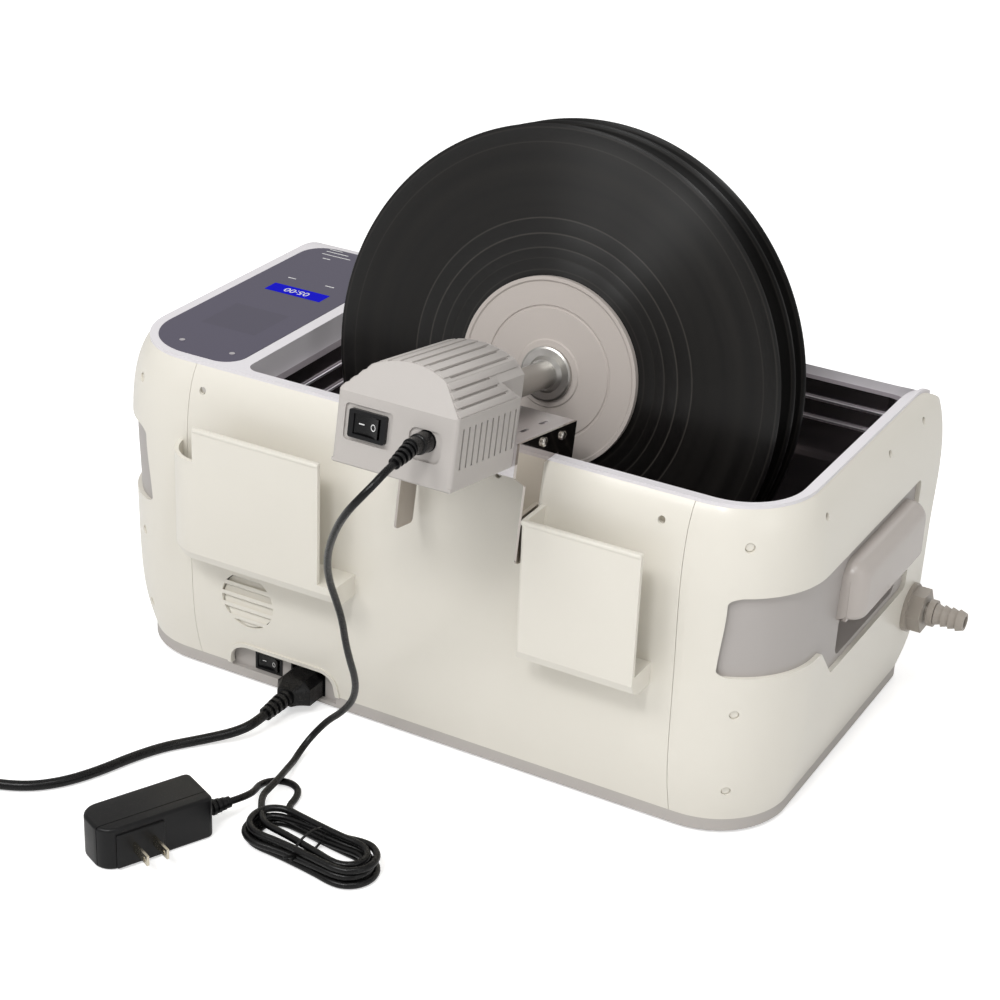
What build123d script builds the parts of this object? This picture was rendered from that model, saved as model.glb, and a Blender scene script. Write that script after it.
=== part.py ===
"""Ultrasonic record cleaning machine: bath, motorised record spindle, mains lead and drive adapter.

Millimetres, +Z up. The origin is the centre of the underside. The service side with the sockets and the
spindle drive is +Y, the control panel is at the +X end and the drain is at the -X end.
"""

import math
import os

from build123d import *

os.makedirs("parts", exist_ok=True)

# ---------------------------------------------------------------- driving dimensions: casing
CASE_L = 485.5
CASE_D = 272.8
TOP_Z = 221.0
HALF_L = CASE_L / 2
HALF_D = CASE_D / 2
# cutters and trimming blocks run this far, past everything
REACH = 400.0
FRAME_T = 2.2
REAR_R = 62.0
FRONT_R = 24.0
WALL = 3.0
SEAM = 0.3
FIT = 0.15
# height above the table, inset of the outer skin from the widest outline
SKIN = (
    (10.6, 11.4),
    (18.0, 9.2),
    (28.0, 6.6),
    (42.0, 4.1),
    (60.0, 2.6),
    (95.0, 1.7),
    (130.0, 1.0),
    (165.0, 0.0),
    (180.0, 0.6),
    (192.0, 2.0),
    (203.0, 4.4),
    (212.0, 7.8),
    (218.8, 12.0),
)
CORE_INSET = 20.0
BASE_INSET = 11.4
BASE_TOP = SKIN[0][0]
BASE_Z0 = 1.5
BASE_T = 3.0
FRAME_INSET = SKIN[-1][1]
BROW_Y = -HALF_D + 50.4
BROW_R = 56.0
SCOOP_Y = -HALF_D + 64.4
SCOOP_R = 98.0
SEAM_PANEL_X = HALF_L - 74.1
SEAM_DRAIN_X = -HALF_L + 66.4

# ---------------------------------------------------------------- driving dimensions: bath
BATH_X0 = -HALF_L + 18.6
BATH_X1 = HALF_L - 105.75
BATH_Y0 = -HALF_D + 18.5
BATH_Y1 = HALF_D - 18.55
BATH_R_DRAIN = 39.0
BATH_R_PANEL = 9.0
SKIRT_T = 2.5
LEDGE_Z = 203.0
LEDGE_IN = 5.0
LEDGE_OUT = 3.4
TANK_T = 1.0
TANK_STEP_Z = 150.0
TANK_STEP = 7.0
TANK_FLOOR_Z = 76.0

# ---------------------------------------------------------------- driving dimensions: spindle drive
SPINDLE_C = ((BATH_X0 + BATH_X1) / 2 + 1.825, HALF_D - 86.55, TOP_Z + 17.0)
PITCH = 9.65
RECORD_R = 150.8
RECORD_T = 1.8
RECORD_FRONTS = (0.0, -22.85, -39.6)
PROTECTOR_R = 59.7
PROTECTOR_T = 3.6
SHAFT_R = 8.3
BORE_FIT = 0.05
NUT_T = 14.0
BOX_V0 = 113.0
BOX_V1 = 183.3
SHAFT_END = BOX_V0 + 8.0
BOX_HALF = 38.2
BOX_FLOOR_W = -27.5
BOX_PLATE_T = 2.5
BOX_CREASE_W = 14.2
BOX_WALL = 2.4
CROWN_TOP_W = 35.3
CROWN_SLOPE_V = BOX_V1 - 13.3
PLATE_W = -12.5
PLATE_T = 1.6
PLATE_V0 = 41.0
SIDE_U = 40.0
SIDE_T = 1.5
LEG_V0 = 78.0
LEG_V1 = 98.5
LEG_W = -89.0

# ---------------------------------------------------------------- driving dimensions: service side
POCKET_FRONT_Y = HALF_D + 23.2
POCKET_ROOT_Y = HALF_D - 18.4
NARROW_X = (SEAM_DRAIN_X + 14.85, SEAM_DRAIN_X + 92.15)
WIDE_X = (SEAM_PANEL_X - 125.65, SEAM_PANEL_X - 20.65)
POCKET_T = 2.8
VENT_C = (HALF_L - 117.45, 65.9)
VENT_R = 19.8
ARCH_X0 = HALF_L - 180.15
ARCH_X1 = HALF_L - 98.85
ARCH_TOP_Z = 29.0
ARCH_FACE_Y = HALF_D - 14.8
ARCH_STEP_X = ARCH_X0 + 40.9
REAR_HOLES_X = [(HALF_L - 83.25) * share / 3 for share in (-3, -1, 1, 3)]
REAR_HOLE_Z = 205.0
END_HOLES_Y = (HALF_D - 61.9, -26.4, -HALF_D + 51.0)
CORNER_HOLES_Z = (198.8, 89.8, 34.9)
CORNER_HOLE_ANGLE = 32.0
HOLE_R = 2.4
INLET_X = ARCH_X0 + 23.9
INLET_Z = 14.6
INLET_W = 27.0
INLET_H = 19.0
CONNECTOR_W = 24.0
CONNECTOR_H = 15.6
ROCKER_X = ARCH_X1 - 26.9
ROCKER_Z = 16.4
ROCKER_W = 21.0
ROCKER_H = 13.0

# ---------------------------------------------------------------- driving dimensions: handles at both ends
WINDOW_Y0 = -HALF_D + 55.0
WINDOW_Y1 = HALF_D - 4.8
WINDOW_TOP_Z = 168.0
WINDOW_LOW_Z = 88.3
WINDOW_STEP_Z = 112.0
WINDOW_STEP_Y = (HALF_D - 89.8, HALF_D - 69.0)
LIP_W = 4.0
LIP_DEPTH = WALL
INSERT_T = 2.5
GRIP_Y0 = WINDOW_Y0 + 8.4
GRIP_Y1 = WINDOW_STEP_Y[0] - 5.6
GRIP_FACE_X = HALF_L + 11.25
GRIP_ROOT_X = HALF_L - 27.75
GRIP_TOP_Z = 160.0
GRIP_LOW_Z = 122.0
GRIP_CHEEK = 8.0
GRIP_T = 7.0
CUP_DEPTH = 18.0
CUP_Y0 = GRIP_Y0 + GRIP_CHEEK - 1.5
CUP_Y1 = GRIP_Y1 - GRIP_CHEEK + 1.5
CUP_Z0 = WINDOW_LOW_Z + 4.0
CUP_Z1 = GRIP_TOP_Z - 8.0

# ---------------------------------------------------------------- driving dimensions: lid pockets
CURVE_R = 27.0
CURVE_TOP_Z = TOP_Z - 51.0
LEDGE_RUN = 12.0

# ---------------------------------------------------------------- driving dimensions: control film
FILM = (BATH_X1 + 8.75, HALF_L - 19.75, -HALF_D + 43.0, HALF_D - 18.3)
FILM_T = 0.6
LCD = (FILM[0] + 14.25, FILM[1] - 19.0, FILM[2] + 78.9, FILM[2] + 92.2)
PANEL_SCREWS = ((FILM[1] - 27.1, FILM[3] - 15.4), (FILM[0] + 10.95, FILM[3] - 14.8))

# ---------------------------------------------------------------- driving dimensions: drain
DRAIN_Y = -HALF_D + 38.0
DRAIN_Z = 66.5
DRAIN_X = -HALF_L + 52.75
DRAIN_WELL_Y = DRAIN_Y + 14.4
DRAIN_PIPE_R = 6.5
DRAIN_BORE_R = 6.0
BARB_TIP_X = -HALF_L - 36.25

# ---------------------------------------------------------------- driving dimensions: base and what stands in it
FEET = [(side * (HALF_L - 47.75), y) for y in (-HALF_D + 41.4, HALF_D - 46.4) for side in (-1, 1)]
ROCKER_THROW = 8.0
FAN_C = (VENT_C[0], VENT_C[1] + 0.6)
FAN_Y0 = HALF_D - 17.4
FAN_Y1 = HALF_D - 6.8
TRANSDUCERS = [(x, side * (HALF_D - 91.4)) for x in (DRAIN_X + 40.0, BATH_X1 - 77.0) for side in (1, -1)]
BOARD = (BATH_X1 + 13.0, HALF_L - 36.75, -HALF_D + 66.4, HALF_D - 76.4)

# ---------------------------------------------------------------- driving dimensions: drive housing and its place
# local X runs across, local Y runs along the spindle away from the records, local Z is square to both
PLACE = Pos(*SPINDLE_C) * Rot(PITCH, 0, 0)
CROWN_SHOULDER = (23.0, 30.2)
NOSE_V0 = BOX_V0 - 18.0
NOSE_HALF = 30.0
NOSE_STEP_V = BOX_V0 + 17.0
SLOT_COUNT = 10
JACK_U = -19.3
JACK_W = -2.0
JACK_R = 6.3
SWITCH_C = (17.1, -2.4)
SWITCH_HALF = (11.9, 8.1)
SLOT_V = (BOX_V0 + 3.4, BOX_V1 - 7.5)
MOTOR_V = (SHAFT_END, SHAFT_END + 21.0, BOX_V1 - 20.3)
BEARING_R = 12.0
SCREW_SPOTS = ((83.0, -17.0), (59.0, -18.0))
CORE_R = 3.55
CORE_FIT = 0.02

# ---------------------------------------------------------------- driving dimensions: mains lead
MAINS_D = 6.4
CONNECTOR_Y1 = HALF_D + 10.6
BOOT_END = (INLET_X + 1.7, CONNECTOR_Y1 + 21.0, 11.0)
MAINS_ROUTE = (
    BOOT_END,
    (88.73, 177.44, 10.08),
    (92.3, 186.0, 8.3),
    (98.3, 192.8, 6.3),
    (107.0, 200.5, 4.3),
    (116.6, 211.2, 3.4),
    (126.6, 224.1, 3.3),
    (135.9, 244.4, 3.4),
    (143.6, 268.0, 3.3),
    (153.6, 288.5, 3.4),
    (167.5, 303.4, 3.3),
    (185.5, 312.4, 3.4),
    (204.5, 316.8, 3.3),
    (223.0, 317.3, 3.4),
)
COIL_C = (228.0, 362.0)
COIL_R = 48.0
COIL_HOLE_R = 22.2
COIL_H = 19.4
TIE_W = 4.4
TIE_T = 1.0
PLUG_END = (310.0, 271.0)
TAIL_ROUTE = (
    (240.0, 323.5, 16.4),
    (251.0, 327.4, 16.5),
    (263.0, 331.4, 16.0),
    (275.0, 335.4, 13.0),
    (287.0, 336.4, 8.4),
    (298.0, 332.0, 4.6),
    (306.0, 322.0, 3.4),
    (309.5, 309.0, 4.4),
    (310.0, 296.0, 7.6),
    (310.0, 283.0, 11.4),
    (310.0, 271.0, 12.2),
)

# ---------------------------------------------------------------- driving dimensions: drive lead and adapter
LEAD_D = 4.4
LEAD_START = (JACK_U, BOX_V1 + 31.2, -8.0)
LEAD_ROUTE = (
    (-61.0, 271.6, 264.7),
    (-59.4, 279.6, 260.6),
    (-54.6, 285.6, 253.6),
    (-46.6, 285.6, 243.4),
    (-34.8, 277.0, 227.4),
    (-21.8, 264.5, 206.5),
    (-11.6, 251.0, 186.0),
    (-5.4, 238.5, 167.2),
    (-2.4, 227.0, 149.2),
    (-0.2, 216.8, 130.8),
    (3.4, 207.4, 110.2),
    (6.0, 198.2, 92.4),
    (8.2, 189.0, 75.9),
    (12.3, 181.0, 60.8),
    (19.4, 174.5, 46.0),
    (30.0, 170.6, 32.8),
    (39.2, 169.4, 24.2),
    (45.8, 170.6, 16.0),
    (50.2, 175.2, 9.0),
    (51.2, 183.6, 4.6),
    (49.0, 194.5, 3.4),
    (45.4, 207.0, 6.2),
    (41.6, 220.0, 8.8),
    (39.8, 233.0, 9.4),
    (38.6, 244.5, 8.8),
    (33.0, 254.5, 8.4),
)
HANK_OUTLINE = (
    (37.5, 257.0), (29.0, 247.5), (15.0, 243.0), (-8.0, 242.0), (-36.0, 245.5), (-55.0, 258.0), (-63.5, 276.0),
    (-58.0, 293.0), (-42.0, 296.5), (-18.0, 291.5), (3.0, 290.0), (20.0, 284.0), (33.0, 271.0),
)
HANK_H = 15.0
ADAPTER_CORNER = (45.6, 282.5)
ADAPTER_DIR = 244.4
ADAPTER = (73.0, 32.0, 28.0)
RELIEF = (12.0, 12.0, 17.0)
ADAPTER_ROUTE = (
    (45.7, 254.93, 12.0),
    (44.6, 246.9, 10.8),
    (47.0, 238.8, 8.0),
    (50.8, 230.2, 4.8),
    (50.6, 221.2, 3.0),
    (44.6, 215.0, 2.4),
    (36.2, 213.8, 2.3),
    (29.0, 218.2, 2.4),
    (25.8, 226.4, 2.3),
    (24.8, 235.2, 2.4),
    (19.6, 242.0, 2.3),
    (10.6, 245.6, 2.4),
)


def save(name: str, shape) -> None:
    """Write one node and say how large it came out."""
    solids = shape.solids()
    group = Compound(children=list(solids)) if len(solids) > 1 else solids[0]
    group.label = name
    export_step(group, f"parts/{name}.step")
    box = group.bounding_box()
    print(f"{name:28s} solids {len(solids):3d} volume {group.volume:12.1f} "
          f"x {box.min.X:7.1f} {box.max.X:7.1f} y {box.min.Y:7.1f} {box.max.Y:7.1f} "
          f"z {box.min.Z:7.1f} {box.max.Z:7.1f}")


def box(x0: float, x1: float, y0: float, y1: float, z0: float, z1: float) -> Part:
    """A block given by its limits."""
    middle = Pos((x0 + x1) / 2, (y0 + y1) / 2, (z0 + z1) / 2)
    return middle * Box(x1 - x0, y1 - y0, z1 - z0)


def rod(axis: str, centre: tuple, radius: float, length: float) -> Part:
    """A round bar along X, Y or Z from its centre point onwards in the positive direction."""
    turn = {"X": Rot(0, 90, 0), "Y": Rot(-90, 0, 0), "Z": Rot(0, 0, 0)}[axis]
    low = (Align.CENTER, Align.CENTER, Align.MIN)
    return Pos(*centre) * turn * Cylinder(radius, length, align=low)


def ring_along(axis: str, centre: tuple, outer: float, inner: float, length: float) -> Part:
    """A tube along X, Y or Z."""
    return rod(axis, centre, outer, length) - rod(axis, centre, inner, length)


def rounded_plan(x0: float, x1: float, y0: float, y1: float, radii: dict) -> Sketch:
    """A rectangle in plan with its own corner radius at each end: keys front, rear, low_x, high_x."""
    face = Pos((x0 + x1) / 2, (y0 + y1) / 2) * Rectangle(x1 - x0, y1 - y0)
    for (side_x, side_y), radius in radii.items():
        corner = [v for v in face.vertices()
                  if abs(v.X - (x0 if side_x < 0 else x1)) < 0.01
                  and abs(v.Y - (y0 if side_y < 0 else y1)) < 0.01]
        if radius > 0.2:
            face = fillet(corner, radius)
    return face


# ---------------------------------------------------------------- casing forms
def case_outline(inset: float) -> Sketch:
    """The plan outline of the casing, moved inwards by inset."""
    half_l = CASE_L / 2 - inset
    half_d = CASE_D / 2 - inset
    rear = REAR_R - inset
    front = FRONT_R - inset
    radii = {(-1, -1): front, (1, -1): front, (-1, 1): rear, (1, 1): rear}
    return rounded_plan(-half_l, half_l, -half_d, half_d, radii)


def brow(start_y: float, radius: float, drop: float) -> Part:
    """Everything under the top line that runs level and then rolls down over the front."""
    top = TOP_Z - drop
    arc_r = radius - drop
    centre_z = TOP_Z - radius
    end_y = -CASE_D / 2 - 1.0
    reach = min(start_y - end_y, arc_r * math.sin(math.radians(72)))
    end_z = centre_z + math.sqrt(arc_r**2 - reach**2)
    mid_y = start_y - arc_r * math.sin(math.asin(reach / arc_r) / 2)
    mid_z = centre_z + arc_r * math.cos(math.asin(reach / arc_r) / 2)
    with BuildPart() as body:
        with BuildSketch(Plane.YZ.offset(-REACH)):
            with BuildLine():
                Line((REACH, -20), (REACH, top))
                Line((REACH, top), (start_y, top))
                ThreePointArc((start_y, top), (mid_y, mid_z), (start_y - reach, end_z))
                Polyline((start_y - reach, end_z), (-REACH, end_z - 60), (-REACH, -20), (REACH, -20))
            make_face()
        extrude(amount=2 * REACH)
    return body.part


def under_crown(drop: float) -> Part:
    """Everything under the top surface, drop lower than it: cheeks at both ends, a scooped front lip."""
    cheeks = brow(BROW_Y, BROW_R, drop)
    lip = brow(SCOOP_Y, SCOOP_R, drop)
    band = box(BATH_X0 - 4 - drop, BATH_X1 + 4 + drop, -REACH, REACH, -30, REACH)
    return cheeks - (band - lip)


def skin_solid(inward: float) -> Part:
    """The casing skin moved inwards: its section swept round the plan, filled to a solid."""
    section = [(CASE_D / 2 - inset - inward, z) for z, inset in SKIN]
    deep = CASE_D / 2 - CORE_INSET - 1.0
    back = Polyline(section[-1], (deep, section[-1][1]), (deep, section[0][1]), section[0])
    face = Plane.YZ * make_face(Curve() + [Spline(*section), back])
    rim = sweep(face, path=case_outline(0.0).face().outer_wire())
    return rim + prism(case_outline(CORE_INSET), section[0][1], section[-1][1])


def bath_outline(grow: float) -> Sketch:
    """The plan outline of the bath mouth, grown outwards."""
    radii = {(-1, -1): BATH_R_DRAIN * 0.5 + grow, (-1, 1): BATH_R_DRAIN + grow,
             (1, -1): BATH_R_PANEL + grow, (1, 1): BATH_R_PANEL + grow}
    radii = {corner: max(radius, 0.6) for corner, radius in radii.items()}
    return rounded_plan(BATH_X0 - grow, BATH_X1 + grow, BATH_Y0 - grow, BATH_Y1 + grow, radii)


def prism(sketch: Sketch, z0: float, z1: float) -> Part:
    """A plan outline raised from z0 to z1."""
    return extrude(Pos(0, 0, z0) * sketch, amount=z1 - z0)


# ---------------------------------------------------------------- service side details


def arch_sketch(grow: float) -> Sketch:
    """The arch over the sockets, drawn as X and Z."""
    radius = 17.0
    return rounded_plan(ARCH_X0 - grow, ARCH_X1 + grow, -10.0, ARCH_TOP_Z + grow,
                        {(-1, 1): radius * 0.55 + grow, (1, 1): radius + grow})


def facing_rear(sketch: Sketch, y0: float, y1: float) -> Part:
    """An outline drawn as X and Z, raised from y0 to y1."""
    raised = extrude(sketch, amount=y1 - y0)
    return Pos(0, y1, 0) * Rot(90, 0, 0) * raised


def facing_end(sketch: Sketch, x0: float, x1: float) -> Part:
    """An outline drawn as Y and Z, raised from x0 to x1."""
    raised = extrude(sketch, amount=x1 - x0)
    return Pos(x0, 0, 0) * Plane.YZ.location * raised


def vent_slots() -> Part:
    """Five slots of a round grille, tilted to shed drips."""
    pitch = 2 * VENT_R / 5
    round_area = rod("Y", (VENT_C[0], HALF_D - 40, VENT_C[1]), VENT_R, 60)
    slots = None
    for step in range(5):
        z = VENT_C[1] - VENT_R + pitch * (step + 0.5)
        slot = Pos(VENT_C[0], CASE_D / 2, z) * Rot(38, 0, 0) * Box(2 * VENT_R, 26, 4.0)
        slots = slot if slots is None else slots + slot
    return slots & round_area


def screw_bores() -> Part:
    """The small holes for the casing screws, on the service side and both ends."""
    holes = [rod("Y", (x, HALF_D - 40, REAR_HOLE_Z), HOLE_R, 60) for x in REAR_HOLES_X]
    for side in (-1, 1):
        for y in END_HOLES_Y:
            start = HALF_L - 40 if side > 0 else -HALF_L - 20
            holes.append(rod("X", (start, y, REAR_HOLE_Z), HOLE_R, 60))
        turn = 90 - CORNER_HOLE_ANGLE if side > 0 else 90 + CORNER_HOLE_ANGLE
        for z in CORNER_HOLES_Z:
            centre = Pos(side * (HALF_L - REAR_R), HALF_D - REAR_R, z)
            bore = centre * Rot(0, 0, turn) * rod("X", (REAR_R - 22, 0, 0), HOLE_R + 0.6, 40)
            holes.append(bore)
    return Part() + holes


def casing_screws() -> Part:
    """A pan head sunk in each hole of the casing."""
    screws = []
    inner = HALF_D - 7.0
    for x in REAR_HOLES_X:
        screws.append(rod("Y", (x, inner - 3.4, REAR_HOLE_Z), HOLE_R - 0.02, 4.2))
    for side in (-1, 1):
        for y in END_HOLES_Y:
            reach = HALF_L - 7.0
            start = reach - 3.4 if side > 0 else -reach - 0.8
            screws.append(rod("X", (start, y, REAR_HOLE_Z), HOLE_R - 0.02, 4.2))
    return Part() + screws


# ---------------------------------------------------------------- handles at both ends


def window_sketch(shrink: float) -> Sketch:
    """The handle window, drawn as Y and Z, with its stepped lower edge."""
    points = [
        (WINDOW_Y0 + shrink, WINDOW_TOP_Z - shrink),
        (WINDOW_Y0 + shrink, WINDOW_LOW_Z + shrink),
        (WINDOW_STEP_Y[0] - shrink * 0.6, WINDOW_LOW_Z + shrink),
        (WINDOW_STEP_Y[1] - shrink * 0.6, WINDOW_STEP_Z + shrink),
        (WINDOW_Y1 - shrink * 0.4, WINDOW_STEP_Z + 2.5 + shrink),
        (WINDOW_Y1 - shrink * 0.4, WINDOW_TOP_Z - shrink),
    ]
    face = make_face(Polyline(*points, close=True))
    return fillet(face.vertices(), 5.0)


def handle_window(side: int, shrink: float = 0.0) -> Part:
    """The window as a cutter that reaches through one end of the casing."""
    x0, x1 = sorted((side * (HALF_L - 92.75), side * (HALF_L + 20)))
    return facing_end(window_sketch(shrink), x0, x1)


def handle_insert(side: int, recessed, recessed_inner) -> Part:
    """The trim behind the window: a wrap-round panel with a hand cup sunk behind the grip."""
    reach = sorted((side * (HALF_L - 48.75), side * (HALF_L + 20)))
    panel = (recessed - recessed_inner) & handle_window(side, -LIP_W)
    panel = panel & box(*reach, -REACH, REACH, 0, REACH)
    end_x = HALF_L - LIP_DEPTH
    shell_x = sorted((side * (end_x - CUP_DEPTH), side * (end_x + 5.0)))
    hollow_x = sorted((side * (end_x - CUP_DEPTH + INSERT_T), side * (end_x + 30.0)))
    cup = facing_end(cup_sketch(INSERT_T), *shell_x) & recessed
    hollow = facing_end(cup_sketch(0.0), *hollow_x)
    return (panel + cup) - hollow


def cup_sketch(grow: float) -> Sketch:
    """The mouth of the hand cup, drawn as Y and Z."""
    corner = 7.0 + grow
    return rounded_plan(CUP_Y0 - grow, CUP_Y1 + grow, CUP_Z0 - grow, CUP_Z1 + grow,
                        {(-1, -1): corner, (1, -1): corner, (-1, 1): corner, (1, 1): corner})


def handle_grip(side: int, recessed) -> Part:
    """The moulded grip: a rounded hood rooted on the trim, open below and behind for the fingers."""
    x0, x1 = GRIP_ROOT_X, GRIP_FACE_X
    hood = box(x0, x1, GRIP_Y0, GRIP_Y1, GRIP_LOW_Z, GRIP_TOP_Z)
    outer = hood.edges().filter_by(lambda e: e.center().X > x1 - 0.1)
    upper = [e for e in outer if e.center().Z > GRIP_TOP_Z - 1]
    hood = chamfer(upper, 5.0, 9.0)
    hood = fillet(hood.edges().filter_by(lambda e: e.center().X > x1 - 13), 3.0)
    hollow = box(x0 - 1, x1 - GRIP_T, GRIP_Y0 + GRIP_CHEEK, GRIP_Y1 - GRIP_CHEEK, GRIP_LOW_Z - 1, CUP_Z1)
    grip = hood - hollow
    grip = grip if side > 0 else mirror(grip, Plane.YZ)
    return grip - recessed


# ---------------------------------------------------------------- lid pockets on the service side
def pocket_profile(top_z: float, floor_z: float) -> Sketch:
    """The J section of a pocket, drawn as Y and Z: a deep floor and a thin front plate."""
    front = POCKET_FRONT_Y
    low = floor_z - 14.5
    outline = Polyline(
        (POCKET_ROOT_Y, low), (front - 9.5, low), (front - 3.0, low + 3.5), (front, low + 9.5), (front, top_z),
        (front - POCKET_T, top_z), (front - POCKET_T, floor_z), (POCKET_ROOT_Y, floor_z), close=True)
    return make_face(outline)


def straight_pocket(x_open: float, x_closed: float, top_z: float, floor_z: float, filled) -> Part:
    """A pocket with a flat end plate at the closed side and an open far side."""
    body = facing_end(pocket_profile(top_z, floor_z), x_open, x_closed)
    end = facing_end(pocket_profile(top_z, floor_z), x_closed - POCKET_T, x_closed)
    plate = box(x_closed - POCKET_T, x_closed, POCKET_ROOT_Y, POCKET_FRONT_Y, floor_z - 5, top_z)
    pocket = body + end + plate
    front_edges = pocket.edges().filter_by(Axis.Z).filter_by(
        lambda e: e.center().Y > POCKET_FRONT_Y - 0.1 and e.center().X > x_closed - 0.1)
    return fillet(front_edges, 2.5) - filled


def curved_pocket(x_open: float, x_turn: float, top_z: float, floor_z: float, filled) -> Part:
    """A pocket whose closed side curves back to the wall, lower there than the plate."""
    turn_y = POCKET_FRONT_Y - CURVE_R
    body = facing_end(pocket_profile(top_z, floor_z), x_open + LEDGE_RUN, x_turn)
    ledge = facing_end(pocket_profile(floor_z + 0.01, floor_z), x_open, x_open + LEDGE_RUN)
    section = pocket_profile(CURVE_TOP_Z, floor_z) & (Pos(turn_y + REACH, 0) * Rectangle(2 * REACH, 2 * REACH))
    section = Plane.XZ * (Pos(-turn_y, 0) * section)
    swept = Pos(x_turn, turn_y, 0) * revolve(section, Axis.Z, 90)
    corner = box(x_turn, x_turn + CURVE_R + 2, POCKET_ROOT_Y, POCKET_FRONT_Y + 10, floor_z - 30, floor_z + 12)
    keep = rod("Y", (x_turn + 1.0, POCKET_ROOT_Y - 10, floor_z - 14.5 + CURVE_R), CURVE_R + 1.0, 70)
    trim = corner - box(x_turn - 60, x_turn + 60, 0, REACH, floor_z - 14.5 + CURVE_R, REACH) - keep
    return (body + ledge + swept) - trim - filled


# ---------------------------------------------------------------- casing assembly
def build_casing() -> dict:
    """All pieces of the casing, the bath and what is inside them."""
    skin = skin_solid(0.0)
    filled = skin & under_crown(FRAME_T)
    hollow = skin_solid(WALL) & under_crown(FRAME_T + 2.6)
    hollow = hollow + prism(case_outline(BASE_INSET + WALL), BASE_TOP - 6, BASE_TOP + 0.5)
    mouth = prism(bath_outline(SKIRT_T + 0.6), 150, REACH)
    shell = filled - hollow - mouth - screw_bores()
    recessed = skin_solid(LIP_DEPTH) & under_crown(FRAME_T + LIP_DEPTH)
    recessed_inner = skin_solid(LIP_DEPTH + INSERT_T) & under_crown(FRAME_T + LIP_DEPTH)
    half = SEAM / 2
    middle = (SEAM_DRAIN_X + half, SEAM_PANEL_X - half)
    parts = {}

    rear = shell & box(*middle, half, REACH, 0, REACH)
    rear = rear - facing_rear(arch_sketch(0.0), HALF_D - 40, HALF_D + 30) - vent_slots()
    rim = facing_rear(arch_sketch(3.0) - arch_sketch(0.0), HALF_D - 26, HALF_D + 30) & skin_solid(-1.3)
    rear = rear + (rim & box(*middle, HALF_D - 18.4, REACH, BASE_TOP, 60) - hollow)
    parts["rear_panel"] = rear
    parts["front_panel"] = shell & box(*middle, -REACH, -half, 0, REACH)
    panel_end = shell & box(SEAM_PANEL_X + half, REACH, -REACH, REACH, 0, REACH)
    drain_end = shell & box(-REACH, SEAM_DRAIN_X - half, -REACH, REACH, 0, REACH)
    parts["panel_end_shell"] = panel_end - handle_window(1)
    drain_hole = rod("X", (-HALF_L - 17, DRAIN_Y, DRAIN_Z), DRAIN_PIPE_R + 0.4, 60)
    parts["drain_end_shell"] = drain_end - handle_window(-1) - drain_hole
    parts["handle_trim_panel"] = handle_insert(1, recessed, recessed_inner)
    parts["handle_trim_drain"] = handle_insert(-1, recessed, recessed_inner)
    parts["handle_grips"] = Part() + [handle_grip(1, recessed), handle_grip(-1, recessed)]
    parts["lid_pocket_narrow"] = straight_pocket(*NARROW_X, TOP_Z - 26.0, 114.0, filled)
    parts["lid_pocket_wide"] = curved_pocket(*WIDE_X, TOP_Z - 28.0, 110.8, filled)
    parts["casing_screws"] = casing_screws()
    parts.update(build_frame(filled))
    parts.update(build_base())
    return parts


def film_outline(grow: float) -> Sketch:
    """The outline of the control film, grown outwards."""
    x0, x1, y0, y1 = FILM
    radii = {(-1, -1): 12 + grow, (1, -1): 20 + grow, (-1, 1): 15 + grow, (1, 1): 40 + grow}
    return rounded_plan(x0 - grow, x1 + grow, y0 - grow, y1 + grow, radii)


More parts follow.
